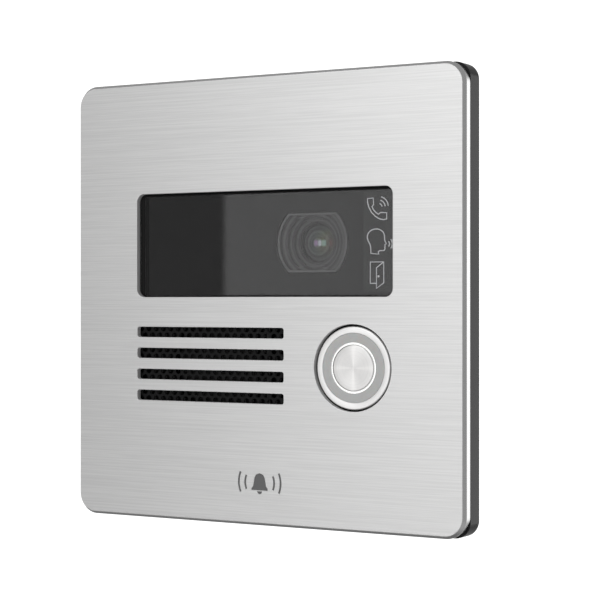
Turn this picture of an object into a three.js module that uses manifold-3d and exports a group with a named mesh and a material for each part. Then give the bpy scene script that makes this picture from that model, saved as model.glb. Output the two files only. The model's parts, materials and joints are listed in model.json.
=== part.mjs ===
// A flush door intercom: brushed front plate, camera window, speaker grille and call button on a
// moulded chassis, with the electronics in a rear housing that hangs on a wall bracket.
// Millimetres. X runs to the right, Y into the wall and Z up, from the centre of the wall plane.
import * as THREE from 'three';
import { mergeVertices } from 'three/addons/utils/BufferGeometryUtils.js';
import Module from 'manifold-3d';

const wasm = await Module();
wasm.setup();

// Clearances
const contactGap = 0.1;
const turnedGap = 0.15;
const looseGap = 0.3;
const cutOver = 1;
const rootIn = 0.5;
const weldGap = 0.00001;
const arcGap = 0.01;

// Panel stack, from the front face to the wall
const panelWidth = 120;
const panelHeight = 120;
const panelCorner = 5.8;
const plateEdge = 3;
const plateSheet = 1.6;
const plateRim = 2.5;
const plateChamferOut = 0.8;
const plateChamferDeep = 1;
const chassisDepth = 5.4;
const chassisWall = 1.5;
const chassisRim = 1.8;
const chassisCorner = 4.3;
const chassisTopChamfer = 0.8;
const wallClearance = 0.3;
const markZ = -48.5;
const markDeep = 0.08;
const markLine = 0.5;
const markArcs = [4.5, 6.5];
const markArcTurn = 0.42;
const bellWide = 5;
const bellHigh = 4.9;
const bellLip = 0.45;
const clapperRadius = 0.75;
const studInset = 10;
const studRadius = 1.5;
const nutHeight = 1.8;
const nutAcrossFlats = 5.5;
const chassisBackY = -wallClearance;
const chassisFrontY = chassisBackY - chassisDepth;
const chassisFloorY = chassisFrontY + chassisWall;
const plateBackY = chassisFrontY - contactGap;
const plateFrontY = plateBackY - plateEdge;
const sheetBackY = plateFrontY + plateSheet;

// Window and camera
const windowWidth = 79.4;
const windowHeight = 28.4;
const windowCorner = 2.2;
const windowZ = 15;
const windowRecess = 1;
const windowSideGap = 0.38;
const paneFlange = 2.2;
const paneFlangeThick = 0.7;
const sealWidth = 1.8;
const carrierThick = 1.2;
const carrierRimWide = 1;
const carrierRimDeep = 1.8;
const cameraX = 14.5;
const cameraZ = windowZ + 0.1;
const hoodRadius = 10.6;
const hoodFlat = 7.8;
const hoodDepth = 3.6;
const hoodSteps = [
  { radius: 9.9, flat: 7.2, depth: 0.9 },
  { radius: 8, flat: 6.4, depth: 1.9 },
  { radius: 6.6, flat: 5.8, depth: 2.9 },
];
const lensRadius = 4.9;
const lensDome = 0.9;
const lensEdge = 1;
const lensWall = 2.1;
const barrelLength = 6.4;
const rearLensRadius = 3.8;
const rearLensThick = 1.6;
const lensSeat = 0.7;
const rearLensSeat = 0.6;
const domeSteps = 6;
const cameraBlock = 26;
const cameraBlockDeep = 7.6;
const cameraBoardThick = 1.2;
const cameraScrewInset = 2.8;
const cameraScrewRadius = 0.9;
const sensorSize = [9, 1.3, 7];
const flexThick = 0.3;
const flexWide = 8;
const flexDrop = 14;
const flexSteps = 8;
const iconsInset = 5.4;
const iconOpeningWidth = 7.4;
const iconOpeningInset = 1.8;
const iconLegPitch = 8.6;
const iconLegRadius = 1.5;
const iconFlange = 0.5;

// Grille, speaker and microphone
const slotWidth = 47;
const slotHeight = 2.85;
const slotCorner = 0.65;
const slotPitch = 5.8;
const slotCount = 4;
const grilleX = -16.1;
const grilleZ = -17.5;
const meshMarginX = 2;
const meshMarginZ = 1.9;
const meshThick = 0.4;
const speakerRadius = 17;
const speakerFlange = 1;
const speakerBasketInset = 2;
const speakerBasketDeep = 6.1;
const speakerWall = 0.8;
const coneThick = 0.5;
const coneDeep = 2;
const coneCapRadius = 4.4;
const coneRoll = 2;
const magnetRadius = 10;
const magnetThick = 6;
const magnetBore = 7;
const micRadius = 2;
const micThick = 2;
const micBootWall = 0.7;
const micPort = 0.6;
const micSnoutWall = 0.7;
const micGapToSpeaker = 0.4;

// Call button
const buttonX = 28;
const buttonZ = -17.57;
const bezelRadius = 10.8;
const bezelHoleGap = 0.55;
const bezelRecess = 0.6;
const ringRecess = 0.1;
const ringOuter = 8.9;
const ringInner = 6.65;
const ringThick = 1.3;
const ringBoardThick = 0.6;
const collarWall = 0.36;
const capThick = 1.7;
const capTravel = 1.2;
const capStem = 2.2;
const barrelRadius = 9.3;
const barrelBack = 3.2;
const barrelWall = 1.7;
const bezelSealThick = 0.4;
const wellDeep = 2.7;
const wellFloor = 1.2;
const springWire = 0.5;
const springRadius = 3.4;
const springTurns = 3;
const springStepsPerTurn = 14;
const springArc = 3;
const clipRadius = 3.6;
const clipThick = 0.5;
const capGroove = 0.55;
const capGrooveWide = 0.7;
const buttonNutFlats = 21;
const buttonNutThick = 2.4;
const switchBody = [6, 1.5, 6];
const switchPlunger = 1.7;
const buttonBoardThick = 0.8;

// Rear housing, main board and connectors
const housingWidth = 84;
const housingHeight = 78;
const housingZ = 1;
const housingDepth = 30;
const housingWall = 1.8;
const housingCorner = 3;
const labelSize = [46, 17];
const labelZ = 22;
const labelDeep = 0.4;
const ribWide = 1.6;
const ribDeep = 0.6;
const ribPitch = 6;
const ribCount = 4;
const flangeMargin = 3.8;
const flangeThick = 1.4;
const sealThick = 0.4;
const sealGrip = 0.3;
const rearScrewInset = 2.3;
const rearScrewRadius = 1;
const rearScrewHead = 1.9;
const rearScrewLength = 4;
const bossWall = 1.3;
const boardThick = 1.6;
const boardFrontY = 10.4;
const boardGap = 2.2;
const postRadius = 2.6;
const postPin = 1.1;
const postInset = 4;
const processorSize = [17, 1.6, 17];
const processorAt = [-20, 18];
const transformerSize = [17, 6, 12.7];
const transformerAt = [18, 6];
const relaySize = [18.4, 9.6, 10.2];
const relayAt = [-17, 8];
const jackSize = [16.2, 13.7];
const jackSocket = [11.8, 8.2];
const jackSocketDeep = 12;
const jackLatch = [6.2, 1.8];
const jackAt = [19, -19];
const headerSize = [20.6, 8.6];
const headerWall = 1;
const headerSocketDeep = 8;
const headerPins = 5;
const headerPin = 1;
const headerPinHigh = 3;
const headerAt = [-15, -19];
const resetAt = [3.2, -19];
const resetBody = [6, 3.5, 6];
const resetRadius = 1.6;
const resetTravel = 0.4;
const resetSunk = 0.6;
const connectorProud = 0.2;

// Wall bracket and its screws
const bracketSheet = 1.5;
const bracketInset = 7;
const bracketCorner = 4;
const openingGap = 2.5;
const swingDrop = 5.5;
const swingRoom = 2;
const pivotInset = 1.5;
const pivotY = -2;
const hookWidth = 14;
const hookSpacing = 60;
const hookThick = 1.2;
const hookTip = 0.2;
const hookPocketSide = 1.1;
const hookPocketRoom = 0.6;
const hookFoot = 4.2;
const ledgeWidth = 16;
const ledgeThick = 1.5;
const ledgeRoom = 0.7;
const wallScrewHead = 3;
const wallScrewHeadHigh = 1.9;
const wallScrewRadius = 1.7;
const wallScrewLength = 20;
const wallScrewTip = 4;
const wallScrewTopShare = 0.7;
const wallScrewCrossShare = 0.6;
const wallScrewX = 49.6;
const wallScrewZ = 30;
const wallSlotLength = 8;
const lightSlot = [14, 4];
const lightSlotX = 26;
const lightSlotInset = 5.6;
const securityY = -3.35;
const securityRadius = 1;
const securityHead = 1.7;
const securityHeadHigh = 1.6;
const securitySunk = 0.4;
const securityNut = [7, 3, 2];
const securityNutRise = 1.3;

// Steps round an arc
const panelArc = 12;
const fineArc = 5;
const plainArc = 2;
const roundSides = 48;
const plainSides = 20;
const smallSides = 10;
const hexSides = 6;

function finish(color, roughness, metalness) {
  return { color, roughness, metalness };
}

const brushedSteel = finish(0xc6c7c8, 0.35, 1);
const zincSteel = finish(0xb4b6b9, 0.4, 1);
const darkSteel = finish(0x4a4c4f, 0.45, 1);
const blackPlastic = finish(0x17181a, 0.55, 0);
const greyPlastic = finish(0x3c3e41, 0.6, 0);
const blackRubber = finish(0x0e0e0f, 0.85, 0);
const smokedGlass = finish(0x24262a, 0.08, 0);
const lensGlass = finish(0x20242c, 0.05, 0);
const clearPlastic = finish(0xd8dbdd, 0.25, 0);
const lightGuide = finish(0xb9bbbc, 0.5, 0);
const boardGreen = finish(0x1d4a36, 0.5, 0);
const paperCone = finish(0x1f2022, 0.8, 0);
const flexOrange = finish(0x8a5a22, 0.5, 0);
const gold = finish(0xc9a45a, 0.3, 1);

// Shapes and solids

function roundedRectangle(x, z, width, height, radius) {
  const shape = new THREE.Shape();
  const left = x - width / 2 + radius;
  const right = x + width / 2 - radius;
  const low = z - height / 2 + radius;
  const high = z + height / 2 - radius;
  const quarter = Math.PI / 2;
  shape.absarc(right, low, radius, -quarter, 0);
  shape.absarc(right, high, radius, 0, quarter);
  shape.absarc(left, high, radius, quarter, 2 * quarter);
  shape.absarc(left, low, radius, 2 * quarter, 3 * quarter);
  return shape;
}

// A circle with its top and bottom cut flat.
function flattedCircle(x, z, radius, flat) {
  const shape = new THREE.Shape();
  const turn = Math.asin(flat / radius);
  shape.absarc(x, z, radius, -turn, turn);
  shape.absarc(x, z, radius, Math.PI - turn, Math.PI + turn);
  return shape;
}

function solidOf(geometry) {
  const bare = geometry.clone();
  bare.deleteAttribute('normal');
  bare.deleteAttribute('uv');
  const merged = mergeVertices(bare, weldGap);
  const corners = merged.index.array;
  const kept = [];
  for (let i = 0; i < corners.length; i += 3) {
    const [a, b, c] = [corners[i], corners[i + 1], corners[i + 2]];
    if (a !== b && b !== c && c !== a) {
      kept.push(a, b, c);
    }
  }
  const vertProperties = new Float32Array(merged.attributes.position.array);
  const mesh = new wasm.Mesh({ numProp: 3, vertProperties, triVerts: new Uint32Array(kept) });
  return new wasm.Manifold(mesh);
}

// A flat shape in the X-Z plane, made solid from yFront back to yBack.
function slab(shape, yFront, yBack, arcSteps = plainArc) {
  const depth = yBack - yFront;
  const settings = { depth, bevelEnabled: false, curveSegments: arcSteps };
  const geometry = new THREE.ExtrudeGeometry(shape, settings);
  geometry.rotateX(Math.PI / 2);
  geometry.translate(0, yBack, 0);
  return solidOf(geometry);
}

// The same with a chamfer round its front edge.
function chamferedSlab(shape, yFront, yBack, out, deep, arcSteps) {
  const length = yBack - yFront + cutOver;
  const geometry = new THREE.ExtrudeGeometry(shape, {
    depth: length,
    bevelThickness: deep,
    bevelSize: out,
    bevelOffset: -out,
    bevelSegments: 1,
    curveSegments: arcSteps,
  });
  geometry.rotateX(Math.PI / 2);
  geometry.translate(0, yFront + deep + length, 0);
  const size = panelWidth + panelHeight;
  return solidOf(geometry).subtract(box(0, yBack + size / 2, 0, size, size, size));
}

function box(x, y, z, width, depth, height) {
  const geometry = new THREE.BoxGeometry(width, depth, height);
  geometry.translate(x, y, z);
  return solidOf(geometry);
}

function boxFrom(x, yFront, yBack, z, width, height) {
  return box(x, (yFront + yBack) / 2, z, width, yBack - yFront, height);
}

// A piece turned about an axis along Y through (x, z), from a closed outline of [radius, y] points.
function turned(x, z, outline, sides) {
  const points = outline.map(([radius, y]) => new THREE.Vector2(radius, y));
  const geometry = new THREE.LatheGeometry(points, sides);
  geometry.translate(x, 0, z);
  return solidOf(geometry);
}

function disc(x, z, radius, yFront, yBack, sides = plainSides) {
  return turned(x, z, [[0, yFront], [radius, yFront], [radius, yBack], [0, yBack]], sides);
}

function ring(x, z, inner, outer, yFront, yBack, sides = roundSides) {
  const outline = [[inner, yFront], [outer, yFront], [outer, yBack], [inner, yBack], [inner, yFront]];
  return turned(x, z, outline, sides);
}

// A six-sided prism whose flats face +X and -X.
function hexPrism(acrossFlats, yFront, yBack) {
  const radius = acrossFlats / Math.sqrt(3);
  const geometry = new THREE.CylinderGeometry(radius, radius, yBack - yFront, hexSides);
  geometry.translate(0, (yFront + yBack) / 2, 0);
  return solidOf(geometry);
}

// A round pin along Z.
function uprightPin(x, y, radius, low, high) {
  const geometry = new THREE.CylinderGeometry(radius, radius, high - low, smallSides);
  geometry.rotateX(Math.PI / 2);
  geometry.translate(x, y, (low + high) / 2);
  return solidOf(geometry);
}

function cutAll(solid, cutters) {
  return cutters.reduce((rest, cutter) => rest.subtract(cutter), solid);
}

function joinAll(solids) {
  return solids.reduce((all, solid) => all.add(solid));
}

function corners(halfX, halfZ, z = 0) {
  return [
    [-halfX, z + halfZ],
    [halfX, z + halfZ],
    [-halfX, z - halfZ],
    [halfX, z - halfZ],
  ];
}

function part(group, name, solid, look, at = [0, 0, 0]) {
  const cut = solid.getMesh();
  const geometry = new THREE.BufferGeometry();
  geometry.setAttribute('position', new THREE.BufferAttribute(cut.vertProperties, 3));
  geometry.setIndex(new THREE.BufferAttribute(cut.triVerts, 1));
  geometry.computeVertexNormals();
  const mesh = new THREE.Mesh(geometry, new THREE.MeshStandardMaterial(look));
  mesh.name = name;
  mesh.position.set(...at);
  group.add(mesh);
}

// Places that several pieces share

const studs = corners(panelWidth / 2 - studInset, panelHeight / 2 - studInset);
const flangeWidth = housingWidth + 2 * flangeMargin;
const flangeHeight = housingHeight + 2 * flangeMargin;
const rearScrews = corners(flangeWidth / 2 - rearScrewInset, flangeHeight / 2 - rearScrewInset, housingZ);
const sealFrontY = chassisFloorY + contactGap;
const flangeFrontY = sealFrontY + sealThick + contactGap;
const flangeBackY = flangeFrontY + flangeThick;
const housingBackY = chassisFloorY + contactGap + housingDepth;
const housingInnerY = housingBackY - housingWall;
const boardBackY = boardFrontY + boardThick;
const boardWidth = housingWidth - 2 * (housingWall + boardGap);
const boardHeight = housingHeight - 2 * (housingWall + boardGap);
const posts = corners(boardWidth / 2 - postInset, boardHeight / 2 - postInset, housingZ);
const partsFrontY = boardBackY + contactGap;

const paneWidth = windowWidth - 2 * windowSideGap;
const paneHeight = windowHeight - 2 * windowSideGap;
const paneCorner = windowCorner - windowSideGap;
const paneFrontY = plateFrontY + windowRecess;
const flangeOfPaneY = sheetBackY + contactGap;
const paneBackY = flangeOfPaneY + paneFlangeThick;
const sealOuterWidth = windowWidth + 2 * paneFlange;
const sealOuterHeight = windowHeight + 2 * paneFlange;
const carrierOpenWidth = sealOuterWidth - 2 * sealWidth;
const carrierOpenHeight = sealOuterHeight - 2 * sealWidth;
const carrierWidth = carrierOpenWidth - 2 * looseGap;
const carrierHeight = carrierOpenHeight - 2 * looseGap;
const carrierFrontY = chassisFrontY + contactGap;
const carrierBackY = carrierFrontY + carrierThick;
const hoodFrontY = carrierFrontY + contactGap;
const hoodBackY = hoodFrontY + hoodDepth;
const barrelFrontY = hoodBackY + contactGap;
const barrelBackY = barrelFrontY + barrelLength;
const barrelOuter = lensRadius + lensWall;
const blockFrontY = barrelFrontY + looseGap;
const blockBackY = blockFrontY + cameraBlockDeep;
const cameraBoardFrontY = blockBackY + contactGap;
const cameraBoardBackY = cameraBoardFrontY + cameraBoardThick;
const cameraScrewHalf = cameraBlock / 2 - cameraScrewInset;
const cameraScrews = [[-cameraScrewHalf, cameraScrewHalf], [cameraScrewHalf, -cameraScrewHalf]];
const iconsX = windowWidth / 2 - iconsInset;
const iconOpeningHeight = windowHeight - 2 * iconOpeningInset;

const grilleHeight = slotHeight + (slotCount - 1) * slotPitch;
const meshWidth = slotWidth + 2 * meshMarginX;
const meshHeight = grilleHeight + 2 * meshMarginZ;
const meshFrontY = sheetBackY + contactGap;
const meshBackY = meshFrontY + meshThick;
const speakerX = grilleX;
const speakerFrontY = chassisFloorY + contactGap;
const basketRadius = speakerRadius - speakerBasketInset;
const basketBackY = speakerFrontY + speakerBasketDeep;
const speakerOpening = basketRadius - 2 * speakerWall;
const micOuter = micRadius + micBootWall;
const micX = speakerX + speakerRadius + micGapToSpeaker + micOuter;
const micFrontY = chassisFloorY + contactGap;

const bezelFrontY = plateFrontY + bezelRecess;
const bezelBackY = chassisFrontY - contactGap - bezelSealThick - contactGap;
const shelfY = bezelFrontY + ringRecess + ringThick + contactGap + ringBoardThick + contactGap;
const collarInner = ringInner - turnedGap - collarWall;
const capRadius = collarInner - turnedGap;
const capFrontY = bezelFrontY;
const capBackY = capFrontY + capThick;
const wellFloorY = shelfY + wellDeep;
const wellBackY = wellFloorY + wellFloor;
const clipFrontY = wellBackY + contactGap;
const stemBackY = clipFrontY + clipThick + looseGap;
const plungerFrontY = stemBackY + capTravel + contactGap;

const bracketWidth = panelWidth - 2 * bracketInset;
const bracketHeight = panelHeight - 2 * bracketInset;
const pivotZ = panelHeight / 2 - pivotInset;
const chassisInnerZ = panelHeight / 2 - chassisRim;
const ledgeLowZ = -bracketHeight / 2 - ledgeThick;
const securityNutZ = -bracketHeight / 2 + securityNutRise + securityNut[2] / 2;
const bossTopZ = ledgeLowZ - ledgeRoom;

// Front plate and window

function grilleSlots(yFront, yBack) {
  const slots = [];
  for (let i = 0; i < slotCount; i += 1) {
    const z = grilleZ + (i - (slotCount - 1) / 2) * slotPitch;
    const shape = roundedRectangle(grilleX, z, slotWidth, slotHeight, slotCorner);
    slots.push(slab(shape, yFront, yBack, fineArc));
  }
  return slots;
}

// A bell with two sound arcs on each side, engraved below the grille.
function bellMark() {
  const half = bellWide / 2;
  const low = -bellHigh / 2 + clapperRadius / 2;
  const high = bellHigh / 2;
  const [lipZ, waistZ] = [markZ + low + bellLip, markZ + low + 2 * bellLip];
  const bell = new THREE.Shape();
  bell.moveTo(-half, markZ + low);
  bell.lineTo(half, markZ + low);
  bell.lineTo(half, lipZ);
  bell.bezierCurveTo(half / 2, waistZ, half, markZ + high, 0, markZ + high);
  bell.bezierCurveTo(-half, markZ + high, -half / 2, waistZ, -half, lipZ);
  bell.closePath();
  const clapper = new THREE.Shape();
  clapper.absarc(0, markZ + low - markLine / 2, clapperRadius, Math.PI, 2 * Math.PI);
  clapper.closePath();
  const shapes = [bell, clapper];
  for (const radius of markArcs) {
    for (const middle of [0, Math.PI]) {
      const arc = new THREE.Shape();
      arc.absarc(0, markZ, radius + markLine / 2, middle - markArcTurn, middle + markArcTurn);
      arc.absarc(0, markZ, radius - markLine / 2, middle + markArcTurn, middle - markArcTurn, true);
      arc.closePath();
      shapes.push(arc);
    }
  }
  return shapes.map((shape) => slab(shape, plateFrontY - cutOver, plateFrontY + markDeep, fineArc));
}

function frontPlate() {
  const outline = roundedRectangle(0, 0, panelWidth, panelHeight, panelCorner);
  const body = chamferedSlab(outline, plateFrontY, plateBackY, plateChamferOut, plateChamferDeep, panelArc);
  const pocketWidth = panelWidth - 2 * plateRim;
  const pocketHeight = panelHeight - 2 * plateRim;
  const pocket = roundedRectangle(0, 0, pocketWidth, pocketHeight, panelCorner - plateRim);
  const opening = roundedRectangle(0, windowZ, windowWidth, windowHeight, windowCorner);
  const before = plateFrontY - cutOver;
  const behind = plateBackY + cutOver;
  const plate = cutAll(body, [
    slab(pocket, sheetBackY, behind),
    slab(opening, before, behind, fineArc),
    disc(buttonX, buttonZ, bezelRadius + bezelHoleGap, before, behind, roundSides),
    ...grilleSlots(before, behind),
    ...bellMark(),
  ]);
  const studBackY = chassisFloorY + contactGap + nutHeight;
  const rootY = sheetBackY - plateSheet / 2;
  const pins = studs.map(([x, z]) => disc(x, z, studRadius, rootY, studBackY, smallSides));
  return joinAll([plate, ...pins]);
}

function plateNut() {
  const front = chassisFloorY + contactGap;
  const back = front + nutHeight;
  const bore = disc(0, 0, studRadius + turnedGap, front - cutOver, back + cutOver, smallSides);
  return hexPrism(nutAcrossFlats, front, back).subtract(bore);
}

function windowPane() {
  const front = roundedRectangle(0, windowZ, paneWidth, paneHeight, paneCorner);
  const flange = roundedRectangle(0, windowZ, sealOuterWidth, sealOuterHeight, windowCorner);
  return slab(front, paneFrontY, paneBackY, fineArc).add(slab(flange, flangeOfPaneY, paneBackY));
}

function windowGasket() {
  const outer = roundedRectangle(0, windowZ, sealOuterWidth, sealOuterHeight, windowCorner);
  const inner = roundedRectangle(0, windowZ, carrierOpenWidth, carrierOpenHeight, windowCorner);
  const front = paneBackY + contactGap;
  const back = chassisFrontY - contactGap;
  return slab(outer, front, back).subtract(slab(inner, front - cutOver, back + cutOver));
}

// Camera behind the window

function cameraCarrier() {
  const outline = roundedRectangle(0, windowZ, carrierWidth, carrierHeight, windowCorner);
  const rimWidth = carrierWidth - 2 * carrierRimWide;
  const rimHeight = carrierHeight - 2 * carrierRimWide;
  const rimInside = roundedRectangle(0, windowZ, rimWidth, rimHeight, windowCorner - carrierRimWide);
  const hoodHole = flattedCircle(cameraX, cameraZ, hoodRadius + looseGap, hoodFlat + looseGap);
  const icons = roundedRectangle(iconsX, windowZ, iconOpeningWidth, iconOpeningHeight, windowCorner / 2);
  const back = carrierBackY + carrierRimDeep;
  const tray = cutAll(slab(outline, carrierFrontY, back), [
    slab(rimInside, carrierBackY, back + cutOver),
    slab(hoodHole, carrierFrontY - cutOver, carrierBackY + cutOver, fineArc),
    slab(icons, carrierFrontY - cutOver, carrierBackY + cutOver),
  ]);
  const postBack = blockFrontY - contactGap;
  const around = cameraScrews.map(([x, z]) => [cameraX + x, cameraZ + z]);
  const pillarRadius = 2 * cameraScrewRadius;
  const rootY = carrierBackY - rootIn;
  const pillars = around.map(([x, z]) => disc(x, z, pillarRadius, rootY, postBack, smallSides));
  const pilot = cameraScrewRadius + turnedGap;
  const pilots = around.map(([x, z]) => disc(x, z, pilot, carrierBackY, postBack + cutOver, smallSides));
  return cutAll(joinAll([tray, ...pillars]), pilots);
}

function iconLightGuide() {
  const width = iconOpeningWidth - 2 * looseGap;
  const height = iconOpeningHeight - 2 * looseGap;
  const face = roundedRectangle(iconsX, windowZ, width, height, windowCorner / 2 - looseGap);
  const flangeWide = iconOpeningWidth + 2 * iconFlange;
  const flangeHigh = iconOpeningHeight - 2 * looseGap;
  const flange = roundedRectangle(iconsX, windowZ, flangeWide, flangeHigh, windowCorner / 2 - looseGap);
  const flangeFront = carrierBackY + contactGap;
  const flangeBack = flangeFront + carrierThick;
  const faceY = carrierFrontY + contactGap;
  const rootY = flangeBack - carrierThick / 2;
  const pieces = [slab(face, faceY, flangeBack), slab(flange, flangeFront, flangeBack)];
  for (const step of [-1, 0, 1]) {
    const z = windowZ + step * iconLegPitch;
    pieces.push(disc(iconsX, z, iconLegRadius, rootY, boardFrontY - looseGap, smallSides));
  }
  return joinAll(pieces);
}

function lensHood() {
  const outer = slab(flattedCircle(0, 0, hoodRadius, hoodFlat), hoodFrontY, hoodBackY, fineArc);
  const steps = hoodSteps.map(({ radius, flat, depth }) => (
    slab(flattedCircle(0, 0, radius, flat), hoodFrontY - cutOver, hoodFrontY + depth, fineArc)
  ));
  const throat = disc(0, 0, lensRadius + looseGap, hoodFrontY, hoodBackY + cutOver, roundSides);
  return cutAll(outer, [...steps, throat]);
}

function lensBarrel() {
  const bore = lensRadius + turnedGap;
  const seat = lensRadius - lensSeat;
  const rearBore = rearLensRadius + turnedGap;
  const frontSeatY = barrelFrontY + lensEdge + contactGap;
  const rearSeatY = barrelBackY - rearLensThick - contactGap;
  const outline = [
    [bore, barrelFrontY],
    [barrelOuter, barrelFrontY],
    [barrelOuter, barrelBackY],
    [rearBore, barrelBackY],
    [rearBore, rearSeatY],
    [rearBore - rearLensSeat, rearSeatY],
    [rearBore - rearLensSeat, frontSeatY + lensEdge],
    [seat, frontSeatY],
    [bore, frontSeatY],
    [bore, barrelFrontY],
  ];
  return turned(0, 0, outline, plainSides);
}

function lensFrontElement() {
  const outline = [[0, barrelFrontY - lensDome]];
  for (let i = 1; i <= domeSteps; i += 1) {
    const share = i / domeSteps;
    outline.push([lensRadius * share, barrelFrontY - lensDome * (1 - share * share)]);
  }
  outline.push([lensRadius, barrelFrontY + lensEdge], [0, barrelFrontY + lensEdge]);
  return turned(0, 0, outline, roundSides);
}

function lensRearElement() {
  return disc(0, 0, rearLensRadius, barrelBackY - rearLensThick, barrelBackY);
}

function cameraHousing() {
  const block = boxFrom(0, blockFrontY, blockBackY, 0, cameraBlock, cameraBlock);
  const bore = disc(0, 0, barrelOuter + turnedGap, blockFrontY - cutOver, blockBackY + cutOver, plainSides);
  const hole = cameraScrewRadius + turnedGap;
  const holes = cameraScrews.map(([x, z]) => (
    disc(x, z, hole, blockFrontY - cutOver, blockBackY + cutOver, smallSides)
  ));
  return cutAll(block, [bore, ...holes]);
}

function cameraBoard() {
  const board = boxFrom(0, cameraBoardFrontY, cameraBoardBackY, 0, cameraBlock, cameraBlock);
  const hole = cameraScrewRadius + turnedGap;
  return cutAll(board, cameraScrews.map(([x, z]) => (
    disc(x, z, hole, cameraBoardFrontY - cutOver, cameraBoardBackY + cutOver, smallSides)
  )));
}

function imageSensor() {
  const back = cameraBoardFrontY - contactGap;
  return boxFrom(0, back - sensorSize[1], back, 0, sensorSize[0], sensorSize[2]);
}

function cameraScrew() {
  const seat = cameraBoardBackY + contactGap;
  const outline = [
    [0, carrierBackY + looseGap],
    [cameraScrewRadius, carrierBackY + looseGap],
    [cameraScrewRadius, seat],
    [2 * cameraScrewRadius, seat],
    [2 * cameraScrewRadius, seat + cameraScrewRadius],
    [0, seat + cameraScrewRadius],
  ];
  return turned(0, 0, outline, smallSides);
}

// A flat ribbon with an S bend, from the back of the camera board to the front of the main board.
function cameraFlexCable() {
  const startY = cameraBoardBackY + contactGap;
  const endY = boardFrontY - contactGap - flexThick;
  const highZ = cameraZ - cameraBlock / 2 + cameraScrewInset;
  const lowZ = highZ - flexDrop;
  const middleZ = (highZ + lowZ) / 2;
  const shape = new THREE.Shape();
  shape.moveTo(startY, highZ);
  shape.bezierCurveTo(startY, middleZ, endY, middleZ, endY, lowZ);
  shape.lineTo(endY + flexThick, lowZ);
  const [frontY, backY] = [startY + flexThick, endY + flexThick];
  shape.bezierCurveTo(backY, middleZ, frontY, middleZ, frontY, highZ);
  shape.closePath();
  const settings = { depth: flexWide, bevelEnabled: false, curveSegments: flexSteps };
  const geometry = new THREE.ExtrudeGeometry(shape, settings);
  geometry.rotateX(Math.PI / 2);
  geometry.rotateZ(Math.PI / 2);
  geometry.translate(cameraX - flexWide / 2, 0, 0);
  return solidOf(geometry);
}

// Chassis

function rearScrewBosses() {
  const radius = rearScrewRadius + turnedGap + bossWall;
  return rearScrews.map(([x, z]) => disc(x, z, radius, sheetBackY + looseGap, chassisFloorY, smallSides));
}

function hookPockets() {
  const top = pivotZ + hookPocketRoom;
  const low = chassisInnerZ - cutOver;
  const width = hookWidth + 2 * looseGap;
  const [front, back] = [pivotY - hookPocketSide, pivotY + hookPocketSide];
  return [-1, 1].map((side) => {
    const x = side * hookSpacing / 2;
    return boxFrom(x, front, back, (top + low) / 2, width, top - low);
  });
}

// The rear top edge is cut away so that it clears the wall as the unit swings.
function topEdgeCut() {
  const shape = new THREE.Shape();
  const topZ = panelHeight / 2;
  const reach = chassisTopChamfer + cutOver;
  shape.moveTo(chassisBackY + cutOver, topZ - reach);
  shape.lineTo(chassisBackY + cutOver, topZ + cutOver);
  shape.lineTo(chassisBackY - reach, topZ + cutOver);
  const geometry = new THREE.ExtrudeGeometry(shape, { depth: 2 * panelWidth, bevelEnabled: false });
  geometry.rotateX(Math.PI / 2);
  geometry.rotateZ(Math.PI / 2);
  geometry.translate(-panelWidth, 0, 0);
  return solidOf(geometry);
}

function chassis() {
  const outline = roundedRectangle(0, 0, panelWidth, panelHeight, chassisCorner);
  const innerWidth = panelWidth - 2 * chassisRim;
  const innerCorner = chassisCorner - chassisRim;
  const inside = roundedRectangle(0, 0, innerWidth, 2 * chassisInnerZ, innerCorner);
  const before = sheetBackY - cutOver;
  const behind = chassisBackY + cutOver;
  const lowZ = -panelHeight / 2;
  const block = slab(outline, chassisFrontY, chassisBackY, panelArc);
  const shell = block.subtract(slab(inside, chassisFloorY, behind, fineArc));

  const bossWidth = 2 * (securityHead + chassisRim);
  const bossHigh = bossTopZ + chassisInnerZ + rootIn;
  const bossZ = bossTopZ - bossHigh / 2;
  const bossFrontY = chassisFloorY - contactGap;
  const screwBoss = boxFrom(0, bossFrontY, chassisBackY - looseGap, bossZ, bossWidth, bossHigh);
  const nutBackY = securityY + securityNut[1] / 2 + turnedGap;
  const nutWide = securityNut[0] + 2 * looseGap;
  const nutHigh = securityNut[2] + 2 * turnedGap;
  const cageWide = nutWide + 2 * chassisRim;
  const cageHigh = nutHigh + chassisWall;
  const cage = boxFrom(0, bossFrontY, nutBackY, securityNutZ, cageWide, cageHigh);

  const body = joinAll([shell, screwBoss, cage, ...rearScrewBosses()]);
  const windowOpening = roundedRectangle(0, windowZ, carrierOpenWidth, carrierOpenHeight, windowCorner);
  const pilot = rearScrewRadius + turnedGap;
  const nutFrontY = securityY - securityNut[1] / 2 - turnedGap;
  const headTopZ = lowZ + securitySunk + securityHeadHigh + contactGap;
  return cutAll(body, [
    slab(windowOpening, before, behind),
    disc(speakerX, grilleZ, speakerOpening, before, behind, plainSides),
    disc(micX, grilleZ, micPort + micSnoutWall + turnedGap, before, behind, smallSides),
    disc(buttonX, buttonZ, barrelRadius + turnedGap, before, behind, roundSides),
    ...studs.map(([x, z]) => disc(x, z, studRadius + looseGap, before, behind, smallSides)),
    ...rearScrews.map(([x, z]) => disc(x, z, pilot, chassisFloorY - rearScrewLength, behind, smallSides)),
    ...hookPockets(),
    topEdgeCut(),
    uprightPin(0, securityY, securityHead + turnedGap, lowZ - cutOver, headTopZ),
    uprightPin(0, securityY, securityRadius + turnedGap, lowZ, securityNutZ + cageHigh),
    boxFrom(0, nutFrontY, nutBackY + cutOver, securityNutZ, nutWide, nutHigh),
  ]);
}

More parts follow.
